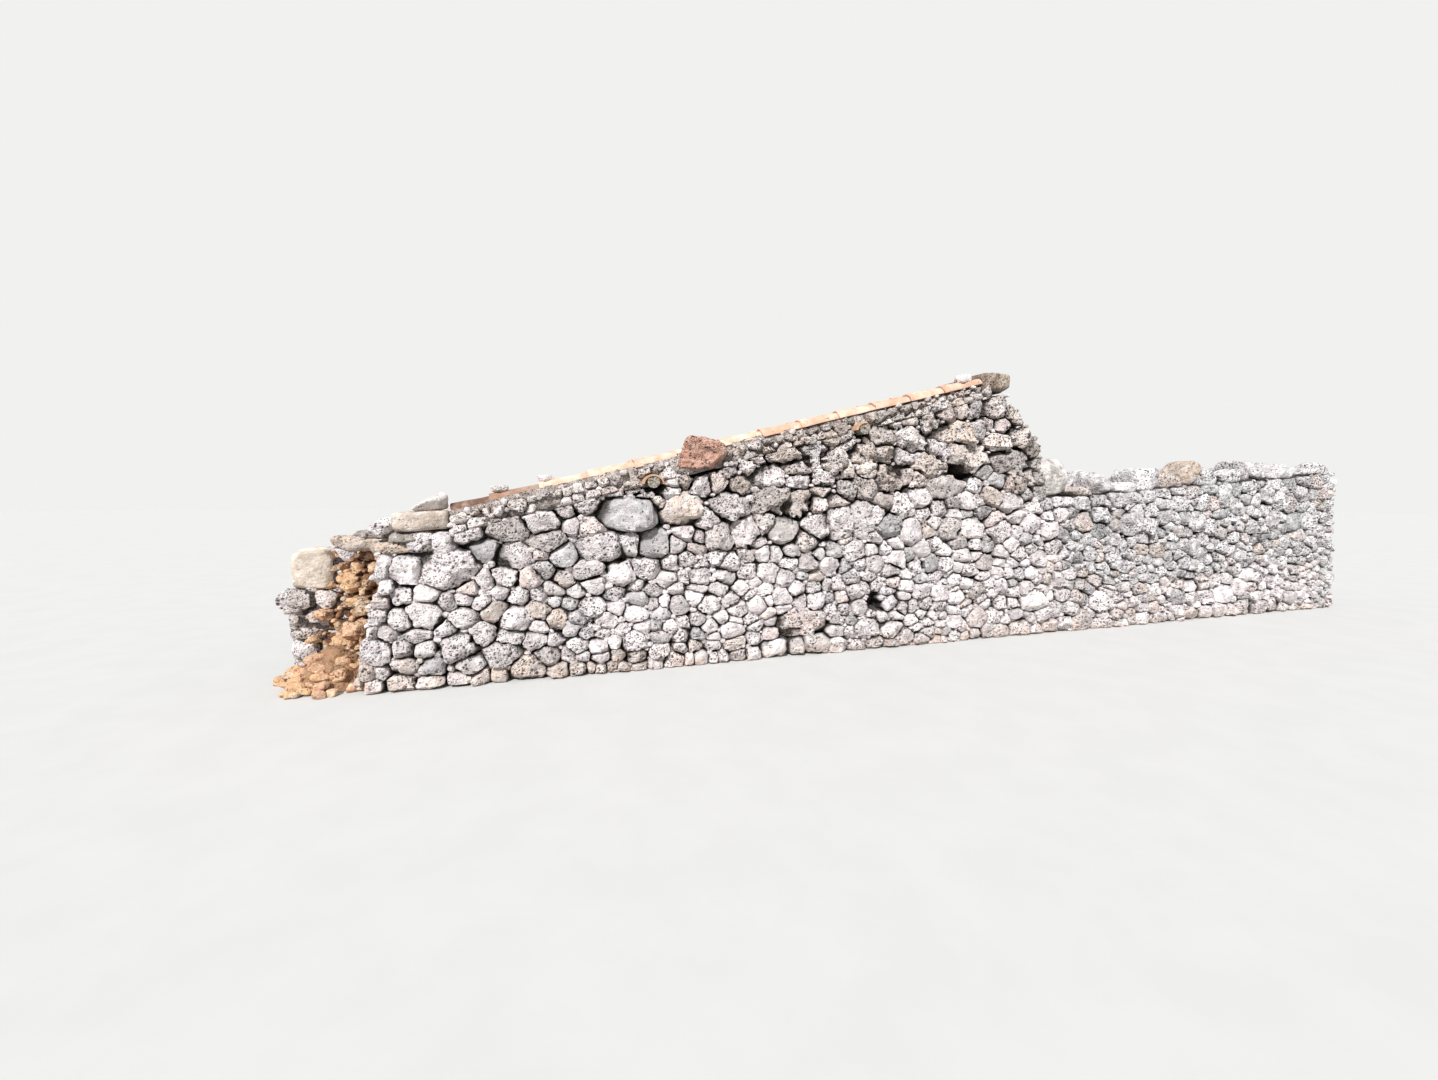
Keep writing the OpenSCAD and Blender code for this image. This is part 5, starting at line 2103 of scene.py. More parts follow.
@dataclass
class BrokenEnd(Trade):
    """The left end: squared block, rough slabs, kerb stones and the spilled filling."""

    block_depth: float = 0.255
    spill_height: float = 0.260
    spill_foot: float = 0.330
    spill_middle: Point3 = (-0.265, 0.445, 0.0)
    spill_stones: int = 46
    wedge_size: Point3 = (0.21, 0.22, 0.115)

    def block(self) -> list[Piece]:
        """Carves the squared block that stands on the end of the back skin.

        Returns:
            The block, as a list of one.
        """
        form = self.form
        size = (form.block_right - form.block_left, self.block_depth, form.shoulder - form.block_seat)
        middle = (form.shoulder + form.block_seat) / 2.0
        back = form.thick - form.lean * middle
        centre = form.model(form.block_left + size[0] / 2, back - self.block_depth / 2, middle)
        return [self.quarry.carve(
            "squared_block", size, at_place(centre, (3.0, 0.0, 0.0)), StoneKind.PALE, 9, 26, 0.06,
            (0.8, 0.95),
        )]

    def slabs(self, pale: bool) -> list[Piece]:
        """Carves the rough brown slabs, or the pale stones among them that carry the kerb.

        Args:
            pale: Whether the pale stones are wanted.

        Returns:
            The stones. Each strip across the wall has both kinds, by their left, right, low and high shares.
        """
        form = self.form
        rng = np.random.default_rng(5 + pale)
        height = form.slab_top - form.shoulder
        front = form.lean * (form.shoulder + height / 2)
        strips = (
            (front + 0.004, 0.36, 0.09), (front + 0.27, 0.33, -0.17),
            (form.thick - front - 0.304, 0.30, -0.345),
        )
        brown = ((0.0, 0.30, 0.0, 0.62), (0.10, 0.34, 0.48, 1.0), (0.28, 0.44, 0.0, 0.55))
        white = ((0.25, 0.42, 0.05, 1.0), (0.40, 0.58, 0.0, 1.0))
        found = []
        for near, depth, start in strips:
            stretch = (0.655 - start) / 0.565
            for left, right, low, high in white if pale else brown:
                size = (
                    (right - left) * stretch + 0.02, depth * 1.02,
                    (high - low) * height * rng.uniform(1.05, 1.2),
                )
                along, up = start + stretch * (left + right) / 2, form.shoulder + height * (low + high) / 2
                turn = (rng.uniform(-3.0, 3.0), rng.uniform(-5.0, 3.0), rng.uniform(-8.0, 8.0))
                kind = StoneKind.WHITE if pale else (StoneKind.DARK, StoneKind.TAN)[int(rng.uniform() < 0.5)]
                place = at_place(form.model(along, near + depth / 2, up), turn)
                found.append(self.quarry.carve("slab", size, place, kind, 18, 20, 0.17, (0.58, 0.88)))
        if pale:
            wedge = at_place(
                form.model(form.kerb_left - 0.085, front + 0.13, form.slab_top + 0.035), (0.0, -16.0, 8.0),
            )
            found.append(
                self.quarry.carve("wedge", self.wedge_size, wedge, StoneKind.WHITE, 14, 18, 0.14, (0.5, 0.85))
            )
        return found

    def kerbs(self) -> list[Piece]:
        """Carves the long kerb stones at the foot of the tiles, one on each skin.

        Returns:
            The kerb stones.
        """
        form = self.form
        size = (form.kerb_right - form.kerb_left, form.kerb_depth, form.kerb_height)
        inset = form.lean * form.slab_top
        found = []
        for near in (inset - 0.005, form.thick - inset - form.kerb_depth + 0.005):
            z = form.slab_top + form.kerb_height / 2
            centre = form.model((form.kerb_left + form.kerb_right) / 2, near + form.kerb_depth / 2, z)
            place = at_place(centre, (0.0, -1.5, 2.0))
            found.append(
                self.quarry.carve("kerb", size, place, StoneKind.PALE, 10, 26, 0.05, (0.8, 0.93), 1.0)
            )
        return found

    def mound(self) -> Piece:
        """Heaps the earth that lies under the spilled rubble.

        Returns:
            The mound.
        """
        Bench.clear()
        bpy.ops.mesh.primitive_cone_add(
            vertices=40, radius1=self.spill_foot, radius2=0.07, depth=self.spill_height,
        )
        mound = bpy.context.object
        centre = self.form.model(*self.spill_middle) + Vector((0.0, 0.0, self.spill_height / 2))
        mound.data.transform(Matrix.Translation(centre))
        Bench.modify(mound, "REMESH", mode="VOXEL", voxel_size=0.022)
        Bench.modify(
            mound, "DISPLACE", texture=self.quarry.clouds(0.07), texture_coords="LOCAL", strength=0.06,
        )
        Quarry.level(mound, 0.0)
        Bench.smooth(mound)
        # The mound's even share of the joint colour gives it the rubble finish's earth colour; it is no
        # painted shade
        for label, value in (("tone", 0.3), ("cast", 0.6), ("shade_and_earth_share", 0.42), ("blend", (0.0, 0.8, 0.2))):
            mark(mound, label, value)
        return mound

    def spill(self) -> list[Piece]:
        """Heaps earth and small rubble against the broken filling.

        Returns:
            The mound and its stones.
        """
        foot = self.form.model(*self.spill_middle)
        kinds = (StoneKind.OCHRE, StoneKind.PALE, StoneKind.PINK, StoneKind.TAN)
        parts = [self.mound()]
        rng = np.random.default_rng(19)
        for _ in range(self.spill_stones):
            turn = rng.uniform(math.radians(150.0), math.radians(345.0))
            reach = self.spill_foot * math.sqrt(rng.uniform(0.05, 1.35))
            height = self.spill_height * max(0.0, 1.0 - reach / self.spill_foot) * 1.05
            size = rng.uniform(0.05, 0.13)
            where = foot + Vector((reach * math.cos(turn), reach * math.sin(turn), height + size * 0.24))
            if where.x < cad_low.x + size * 0.6 or where.y < cad_low.y + size * 0.5:
                continue
            kind = kinds[int(rng.integers(len(kinds)))]
            sides = (size, size * rng.uniform(0.6, 0.95), size * rng.uniform(0.45, 0.75))
            place = at_place(where, tuple(rng.uniform(-25.0, 25.0, 3)))
            parts.append(self.quarry.carve("rubble", sides, place, kind, 9, 8, 0.09, (0.6, 0.85)))
            Quarry.level(parts[-1], 0.0)
        return parts

    def build(self) -> None:
        """Builds and dresses the pieces of the broken end."""
        self.settle("end_block_stone", self.block(), "end_block", "pale_stone", BLOCK_STONE)
        self.settle("end_slab_stones", self.slabs(False), "end_slabs", "pale_stone", SLAB_STONE)
        self.settle("end_pale_stones", self.slabs(True), "end_slabs", "limestone", LIMESTONE)
        self.settle("kerb_stone_pair", self.kerbs(), "kerb_stones", "pale_stone", KERB_STONE)
        self.settle("spilled_filling", self.spill(), "spilled_rubble", "hearting", RUBBLE_STONE)


@dataclass
class TiledTop(Trade):
    """Mortar bed, lapped barrel tiles, ridge block and the stones that weigh them down."""

    tile_count: int = 12
    gap_tile: int = 5
    across: int = 18
    lengthwise: int = 10
    rim: float = 0.0028
    verge_fall: float = 0.095
    verge_course: float = 0.074
    ridge_height: float = 0.190

    def barrel(self, length: float) -> Piece:
        """Models one tapered half-barrel in its own frame, wide end first, hollow side down.

        Args:
            length: Its length.

        Returns:
            The tile.
        """
        form = self.form
        narrow = form.tile_wide - (form.tile_wide - form.tile_narrow) * length / form.tile_length
        Bench.clear()
        bpy.ops.mesh.primitive_cone_add(
            vertices=2 * self.across, radius1=form.tile_wide, radius2=narrow, depth=length,
            end_fill_type="NOTHING",
        )
        tile = bpy.context.object
        with Bench.editing(tile):
            Bench.slice((form.cover_sink, 0.0, 0.0), (1.0, 0.0, 0.0), clear_inner=True)
        turn = Matrix(((0, 0, 1, 0), (0, -1, 0, 0), (1, 0, 0, 0), (0, 0, 0, 1)))
        tile.data.transform(Matrix.Translation((length / 2, 0.0, -form.cover_sink)) @ turn)
        with Bench.editing(tile):
            for cut in range(1, self.lengthwise):
                Bench.slice((length * cut / self.lengthwise, 0.0, 0.0), (1.0, 0.0, 0.0))
        Bench.face_out(tile)
        if sum(face.normal.z for face in tile.data.polygons) < 0.0:
            tile.data.flip_normals()
        Bench.modify(tile, "SOLIDIFY", thickness=form.clay, offset=-1.0, use_even_offset=True)
        Bench.modify(
            tile, "BEVEL", width=self.rim, segments=2, limit_method="ANGLE", angle_limit=math.radians(50.0),
        )
        return tile

    @staticmethod
    def copy_tile(pattern: Piece, place: Matrix, rng: Draws, burnt: float) -> Piece:
        """Copies a tile with its own hand-made unevenness, chipped rims and tone.

        Args:
            pattern: The tile to copy.
            place: Puts it where it belongs.
            rng: The random draws.
            burnt: How dark it has weathered, from 0 to 1.

        Returns:
            The copy, with its place in its mesh.
        """
        tile = bpy.data.objects.new("tile", pattern.data.copy())
        bpy.context.scene.collection.objects.link(tile)
        rows = Bench.points(tile)
        length = rows[:, 0].max()
        shift = rng.uniform(-50.0, 50.0, 3)
        rows[:, 2] += 0.0022 * value_noise(rows * 9.0 + shift, 1)
        rows[:, 1] += 0.0018 * value_noise(rows * 7.0 + shift, 2)
        chips = np.clip(value_noise(rows * np.array([0.0, 34.0, 34.0]) + shift, 4) - 0.25, 0.0, 1.0)
        rows[:, 0] += 0.022 * chips * ((rows[:, 0] < 0.004) * 1.0 - (rows[:, 0] > length - 0.004) * 1.0)
        Bench.move(tile, rows)
        tile.data.transform(place)
        mark(tile, "tone", float(rng.uniform(0.25, 1.0)))
        mark(tile, "cast", float(rng.uniform()))
        mark(tile, "burnt", float(burnt))
        return tile

    def jitter(self, tile: int, row: float, rng: Draws) -> Matrix:
        """Places a tile on the plane by its number and row, a little out of true.

        Args:
            tile: The tile's number up the rake.
            row: The tile row.
            rng: Gives the random draws.

        Returns:
            Its place and turn.
        """
        turn = turned(rng.uniform(-1.0, 1.0, 3) * (1.6, 0.35, 0.8))
        u, v = tile * self.form.exposure, row * self.form.row_pitch
        shift = (u + rng.uniform(-0.005, 0.005), v + rng.uniform(-0.003, 0.003), rng.uniform(0.0, 0.002))
        return self.form.on_rake() @ Matrix.Translation(shift) @ turn

    def trim(self, tile: Piece, at: Point2, way: Point3, **sides: bool) -> None:
        """Cuts a laid tile off by a plane.

        Args:
            tile: The tile.
            at: The plane's point, on the tile plane.
            way: Where the plane looks, in the tile plane's frame.
            sides: Which side goes.
        """
        seat = self.form.on_rake()
        with Bench.editing(tile):
            Bench.slice(seat @ Vector((*at, 0.0)), seat.to_3x3() @ Vector(way), use_fill=True, **sides)

    def cover_row(self, row: int, pattern: Piece, short: Piece, rng: Draws) -> list[Piece]:
        """Lays one row of cover tiles up the rake.

        Args:
            row: -1 for the front row, 0 for the middle one and 1 for the back one.
            pattern: The tile.
            short: The tile that stops short where the boulder stands.
            rng: The random draws.

        Returns:
            The tiles.
        """
        found = []
        for index in range(1, self.tile_count + 1):
            if row == -1 and index == self.gap_tile:
                continue
            source = short if row == -1 and index == self.gap_tile - 1 else pattern
            burnt = 0.7 if index == 1 else 0.1 * rng.uniform() + (0.25 if rng.uniform() < 0.2 else 0.0)
            found.append(self.copy_tile(source, self.jitter(index, row, rng), rng, burnt))
        return found

    def channel_row(self, row: float, pattern: Piece, rng: Draws) -> list[Piece]:
        """Lays one row of channel tiles, hollow side up, and trims it at both ends of the bed.

        Args:
            row: The tile row.
            pattern: The tile to copy.
            rng: Gives the random draws.

        Returns:
            The row's tiles.
        """
        form = self.form
        flip = Matrix.Translation((form.tile_length, 0.0, 0.0)) @ Matrix.Rotation(math.pi, 4, "Y")
        found = []
        for index in range(self.tile_count + 1):
            place = self.jitter(index, row, rng) @ Matrix.Translation((0.0, 0.0, -0.0002)) @ flip
            found.append(self.copy_tile(pattern, place, rng, 0.35 * rng.uniform() + 0.15))
        self.trim(found[0], (form.bed_start, 0.0), (-1.0, 0.0, 0.0), clear_outer=True)
        self.trim(found[-1], (form.bed_stop, 0.0), (1.0, 0.0, 0.0), clear_outer=True)
        return found

    def broken(self, pattern: Piece, rng: Draws) -> list[Piece]:
        """Lays the lowest tile of each cover row, broken off on the slant and weathered dark.

        Args:
            pattern: The tile to copy.
            rng: Gives the random draws.

        Returns:
            The broken tiles.
        """
        found = []
        for row in (-1, 0, 1):
            tile = self.copy_tile(pattern, self.jitter(0, row, rng), rng, 1.0)
            start = (self.form.bed_start + 0.030 + 0.025 * row, row * self.form.row_pitch - 0.09)
            slant = math.radians(14.0 * (row + 0.5))
            self.trim(tile, start, (math.cos(slant), math.sin(slant), 0.12), clear_inner=True)
            found.append(tile)
        return found

    def bed_lift(self, across: Rows) -> Rows:
        """Gives the height of the bed at places across it: ribs under cover tiles, troughs under channels.

        Args:
            across: The places.

        Returns:
            One height for each place.
        """
        form = self.form
        lift = np.full(len(across), -0.003)
        inner, outer = form.tile_narrow - form.clay - 0.002, form.tile_wide + 0.001
        for row in (-1, 0, 1):
            offset = across - row * form.row_pitch
            lift = np.maximum(
                lift, np.sqrt(np.maximum(0.0, inner * inner - offset * offset)) - form.cover_sink,
            )
        for row in (-0.5, 0.5):
            offset = across - row * form.row_pitch
            trough = form.channel_lift - np.sqrt(np.maximum(0.0, outer * outer - offset * offset))
            lift = np.where(np.abs(offset) < 0.083, np.minimum(lift, trough), lift)
        return lift

    def bed(self) -> Piece:
        """Models the mortar bed, with its verge smeared over the top of the face stones.

        Returns:
            The bed.
        """
        form = self.form
        length = form.bed_stop - form.bed_start
        Bench.clear()
        bpy.ops.mesh.primitive_grid_add(x_subdivisions=150, y_subdivisions=46, size=1.0)
        bed = bpy.context.object
        with Bench.editing(bed):
            bpy.ops.transform.resize(value=(length, form.bed_width, 1.0))
            bpy.ops.transform.translate(value=(form.bed_start + length / 2, 0.0, 0.0))
            bpy.ops.mesh.extrude_region_move(TRANSFORM_OT_translate={"value": (0.0, 0.0, -form.bed_thick)})
        rows = Bench.points(bed)
        under = rows[:, 2] < -form.bed_thick / 2
        across = rows[:, 1]
        half = form.bed_width / 2
        edge = np.clip((np.abs(across) - (half - 0.05)) / 0.05, 0.0, 1.0)
        lumps = value_noise(rows * (9.0, 9.0, 0.0) + 5.0, 6) + 0.6 * value_noise(rows * (27.0, 27.0, 0.0), 7)
        smear = np.clip(1.0 - np.abs(np.abs(across) - (half - 0.002)) / 0.03, 0.0, 1.0)
        skirt = (edge > 0.0) * (0.100 + 0.012 * value_noise(rows * (11.0, 0.0, 0.0), 13))
        top = self.bed_lift(across) + smear * (0.026 + 0.012 * lumps)
        rows[:, 2] = np.where(under, rows[:, 2] - skirt, top)
        reach = 0.010 * value_noise(
            rows * (6.0, 0.0, 14.0) + 9.0, 8,
        ) + 0.012 * value_noise(rows * (21.0, 0.0, 30.0), 9)
        face = form.mid - half - form.lean * (form.plane_height + rows[:, 0] * math.sin(form.rake)) - 0.052
        rows[:, 1] += np.sign(across) * edge * (reach + face)
        ends = np.clip(1.0 - np.abs(rows[:, 0] - form.bed_start) / 0.03, 0.0, 1.0)
        rows[:, 0] += ends * 0.02 * value_noise(rows * (0.0, 16.0, 30.0), 12)
        Bench.move(bed, rows)
        bed.data.transform(form.on_rake())
        Bench.face_out(bed)
        Bench.smooth(bed)
        return bed

    def verge_stone(self, seed: Seed, rng: Draws, front: bool) -> None:
        """Chooses a verge stone's tone, browner up the rake, or leaves it out where bare mortar shows.

        Args:
            seed: The stone's seed.
            rng: Gives the random draws.
            front: Whether it lies in the front verge.
        """
        form, kinds = self.form, StoneKind
        brown = rng.uniform() < ease(seed.s, 0.9, 2.6)
        seed.kind = rng.choice(
            [kinds.DARK, kinds.TAN, kinds.PALE, kinds.DARK, kinds.WHITE] if brown
            else [kinds.WHITE, kinds.PALE, kinds.PALE, kinds.PINK, kinds.WHITE]
        )
        seed.rugged = 0.9 if brown else 0.35
        seed.outset = rng.uniform(-0.004, 0.018)
        logs = [(s - form.plane_start) / math.cos(form.rake) for s in form.log_places]
        gap_low, gap_high = form.gap_tile_run
        bare = gap_low - 0.02 < seed.s < gap_high + 0.02
        bare |= seed.z < 0.09 and any(abs(seed.s - place) < 0.11 for place in logs)
        seed.stone = rng.uniform() > 0.05 and not (front and bare)

    def verge(self, side: str) -> Piece:
        """Lays the row of small stones bedded in mortar between one face and its tiles.

        Args:
            side: The face: "front" or "back".

        Returns:
            The joined row.
        """
        form = self.form
        sign = 1.0 if side == "front" else -1.0
        low = form.bed_thick + self.verge_fall
        foot = form.rake_point(0.0, -low)
        sine, cosine = math.sin(form.rake), math.cos(form.rake)
        plane = FacePlane(
            (foot[0] - form.centre, sign * (form.lean * foot[1] - form.mid), foot[1]),
            (cosine, sign * form.lean * sine, sine), (-sine, sign * form.lean * cosine, cosine),
            (0.0, -sign, 0.0),
        )
        batch = StoneBatch()
        Facing(
            plane, 0.08, form.bed_stop + 0.04, always(low - 0.012), always(self.verge_course),
            lambda seed: box_fences(0.07, form.bed_stop + 0.05, 0.0, low - 0.012),
            lambda seed, rng: self.verge_stone(seed, rng, side == "front"), always(0.02), always(0.7), 151,
            detail=6, depth=0.10, shape=1.5, pin_share=0.5,
        ).lay(lambda seed: batch)
        return batch.build("verge")

    def ridge(self) -> Piece:
        """Models the lump of mortar that closes the top of the rake.

        Returns:
            The lump.
        """
        form = self.form
        foot = form.rake_point(form.bed_stop, -form.bed_thick)
        size = (form.ridge_stop - foot[0] + 0.03, form.bed_width * 0.98, self.ridge_height)
        centre = form.model(foot[0] + size[0] / 2 - 0.02, form.mid, foot[1] + self.ridge_height / 2 - 0.012)
        place = at_place(centre, (0.0, 1.0, 0.0))
        rock = self.quarry.carve("ridge", size, place, StoneKind.PALE, 9, 30, 0.07, (0.78, 0.93))
        Quarry.level(rock, foot[1])
        return rock

    def ballast(self) -> list[Piece]:
        """Carves the loose stones that lie on the kerb and the tiles.

        Returns:
            The stones.
        """
        form = self.form
        place = at_place(form.model(
            form.kerb_left + 0.62 * (form.kerb_right - form.kerb_left),
            form.lean * form.slab_top + form.kerb_depth / 2,
            form.slab_top + form.kerb_height + 0.055,
        ), (0.0, -8.0, 20.0))
        size = (0.25, 0.22, 0.15)
        found = [self.quarry.carve("ballast", size, place, StoneKind.WHITE, 20, 18, 0.16, (0.40, 0.75))]
        Quarry.slope(found[0], -1.0, 0.55)
        taper = (form.tile_wide - form.tile_narrow) / form.tile_length
        turn = Euler((0.1, 0.1, 0.4)).to_matrix().to_4x4()
        for tile, offset, size in (
            (1, 0.09, (0.13, 0.11, 0.062)), (2, 0.06, (0.11, 0.10, 0.058)),
            (self.tile_count, 0.29, (0.17, 0.13, 0.088)),
        ):
            crown = form.tile_wide - form.cover_sink - taper * offset
            seat = (tile * form.exposure + offset, -form.row_pitch, crown + size[2] / 2 - 0.012)
            place = form.on_rake() @ Matrix.Translation(seat) @ turn
            found.append(
                self.quarry.carve("ballast", size, place, StoneKind.WHITE, 14, 12, 0.12, (0.5, 0.85))
            )
        return found

    def build(self) -> None:
        """Builds and dresses the tiled top."""
        form = self.form
        rng = np.random.default_rng(31)
        pattern, short = self.barrel(form.tile_length), self.barrel(form.exposure - 0.002)
        channel = bpy.data.objects.new("channel", pattern.data.copy())
        channel.data.transform(Matrix.Translation((0.0, 0.0, form.cover_sink - form.channel_lift)))
        works = [
            (f"{side}_cover_row", f"{side}_cover_tiles", self.cover_row(row, pattern, short, rng))
            for row, side in enumerate(("front", "middle", "back"), start=-1)
        ]
        works.append(("lowest_broken_tiles", "broken_tiles", self.broken(pattern, rng)))
        works += [
            (f"{side}_channel_row", f"{side}_channel_tiles", self.channel_row(row, channel, rng))
            for side, row in (("front", -0.5), ("back", 0.5))
        ]
        clay = ClayFinish("salmon_clay")
        for name, node, parts in works:
            Bench.smooth(Bench.join(name, parts), 40.0)
            self.settle(name, parts[:1], node, "clay_tile", clay)
        for spare in (pattern, short, channel):
            bpy.data.objects.remove(spare)
        self.settle("lime_mortar_bed", [self.bed()], "mortar_bed", "lime_mortar", MortarFinish("lime_mortar"))
        for side in ("front", "back"):
            self.settle(f"{side}_verge_stones", [self.verge(side)], "", "limestone", VERGE_STONE)
        mortar = MortarFinish("ridge_mortar", paint(196, 180, 164), paint(140, 122, 108))
        self.settle("ridge_mortar", [self.ridge()], "ridge_block", "lime_mortar", mortar)
        self.settle("loose_ballast", self.ballast(), "ballast_stones", "limestone", BALLAST_STONE)


@dataclass
class LogEnds(Trade):
    """The two round logs through the wall, each under its half-barrel tile, and the red boulder."""

    overhang: float = 0.055
    tile_run: float = 0.290
    lengthwise: int = 22
    end_rings: tuple[float, ...] = (0.006, 0.014, 0.014, 0.010)

    def weather(self, piece: Piece, half: float, shift: float) -> None:
        """Grooves a log along its grain and splits its ends.

        Args:
            piece: The log, standing on end about its own middle.
            half: Half its length.
            shift: Sets it apart from the other log.
        """
        rows = Bench.points(piece)
        angle = np.arctan2(rows[:, 1], rows[:, 0])
        reach = np.hypot(rows[:, 0], rows[:, 1])
        around = np.stack([np.cos(angle) * 2.2, np.sin(angle) * 2.2, rows[:, 2] * 1.4], axis=1)
        groove = value_noise(around * 2.4 + shift * 9.0, 3)
        scale = 1.0 - 0.05 * np.clip(groove, 0.0, 1.0) - 0.02 * (1.0 + value_noise(around, 4))
        rows[:, :2] *= scale[:, None]
        end = (np.abs(rows[:, 2]) > half - 0.001) * 1.0
        split = np.clip(
            value_noise(np.stack([angle * 3.2, reach * 9.0, angle * 0.0], axis=1) + shift, 6), 0.0, 1.0,
        )
        rows[:, 2] -= np.sign(rows[:, 2]) * end * (0.010 * split + 0.004 * value_noise(rows * 60.0, 2))
        Bench.move(piece, rows)

    def timber(self, s: float, hollow: bool) -> Piece:
        """Models one log with split, weathered ends.

        Args:
            s: Its place along the wall.
            hollow: Whether its heart has rotted out.

        Returns:
            The log.
        """
        form = self.form
        z = form.log_height(s)
        front = form.lean * form.arch_height(s) - self.overhang + 0.008
        back = form.thick - form.lean * z + 0.012
        Bench.clear()
        bpy.ops.mesh.primitive_cylinder_add(vertices=48, radius=form.log_radius, depth=back - front)
        piece = bpy.context.object
        with Bench.editing(piece, lambda face: abs(face.normal.z) > 0.9):
            for step in self.end_rings:
                bpy.ops.mesh.inset(thickness=step, depth=0.0)
            if hollow:
                bpy.ops.mesh.inset(thickness=0.0, depth=-0.05)
        with Bench.editing(piece):
            for cut in range(1, self.lengthwise):
                level = (front - back) / 2 + (back - front) * cut / self.lengthwise
                Bench.slice((0.0, 0.0, level), (0.0, 0.0, 1.0))
        self.weather(piece, (back - front) / 2, s)
        lying = Matrix(((1, 0, 0, 0), (0, 0, 1, 0), (0, -1, 0, 0), (0, 0, 0, 1)))
        piece.data.transform(Matrix.Translation(form.model(s, (front + back) / 2, z)) @ lying)
        Bench.face_out(piece)
        Bench.smooth(piece, 50.0)
        return piece

    def hood(self, s: float, maker: TiledTop, rng: Draws, broken: bool) -> Piece:
        """Lays the half-barrel tile over a log, standing proud of the face.

        Args:
            s: Its place along the wall.
            maker: Makes the tile.
            rng: The random draws.
            broken: Whether a corner is gone.

        Returns:
            The tile.
        """
        form = self.form
        front = form.lean * form.arch_height(s) - self.overhang
        pattern = maker.barrel(form.tile_length)
        rows = Bench.points(pattern)
        rows[:, 2] += form.cover_sink
        reach = np.hypot(rows[:, 1], rows[:, 2])
        taper = form.tile_wide - (form.tile_wide - form.tile_narrow) * rows[:, 0] / form.tile_length
        rows[:, 1:] *= (1.0 + (form.tile_wide - taper) / np.maximum(reach, 0.01))[:, None]
        rows[:, 2] -= 0.010
        rows[:, 0] *= self.tile_run / form.tile_length
        Bench.move(pattern, rows)
        place = Matrix.Translation(
            form.model(s, front, form.arch_height(s))
        ) @ Matrix.Rotation(math.pi / 2, 4, "Z")
        tile = maker.copy_tile(pattern, place, rng, 0.25)
        bpy.data.objects.remove(pattern)
        if broken:
            with Bench.editing(tile):
                corner = form.model(s + 0.03, front + 0.02, 0.0)
                Bench.slice(corner, (0.8, -0.6, 0.0), use_fill=True, clear_outer=True)
        Bench.smooth(tile, 40.0)
        return tile

    def boulder(self) -> Piece:
        """Carves the pink boulder that stands in the verge.

        Returns:
            The boulder.
        """
        low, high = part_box("red_boulder")
        place = at_place((low + high) / 2)
        rock = self.quarry.carve(
            "pink_boulder", tuple(high - low), place, StoneKind.PALE, 18, 30, 0.24, (0.45, 0.8),
        )
        Quarry.slope(rock, 1.0, 0.26)
        return rock

    def build(self, maker: TiledTop) -> None:
        """Builds and dresses the logs, their tiles and the boulder.

        Args:
            maker: Models the tiles.
        """
        rng = np.random.default_rng(77)
        clay = ClayFinish("log_tile_clay", paint(205, 152, 112), paint(222, 184, 148))
        for side, s, broken in zip(("left", "right"), self.form.log_places, (False, True)):
            timber = TimberFinish(f"{side}_timber", (s - self.form.centre, self.form.log_height(s)))
            self.settle(f"{side}_round_log", [self.timber(s, broken)], f"{side}_log", "old_timber", timber)
            hood = self.hood(s, maker, rng, broken)
            self.settle(f"{side}_log_hood", [hood], f"{side}_log_tile", "clay_tile", clay)
        self.settle("pink_boulder", [self.boulder()], "red_boulder", "red_stone", RED_STONE)


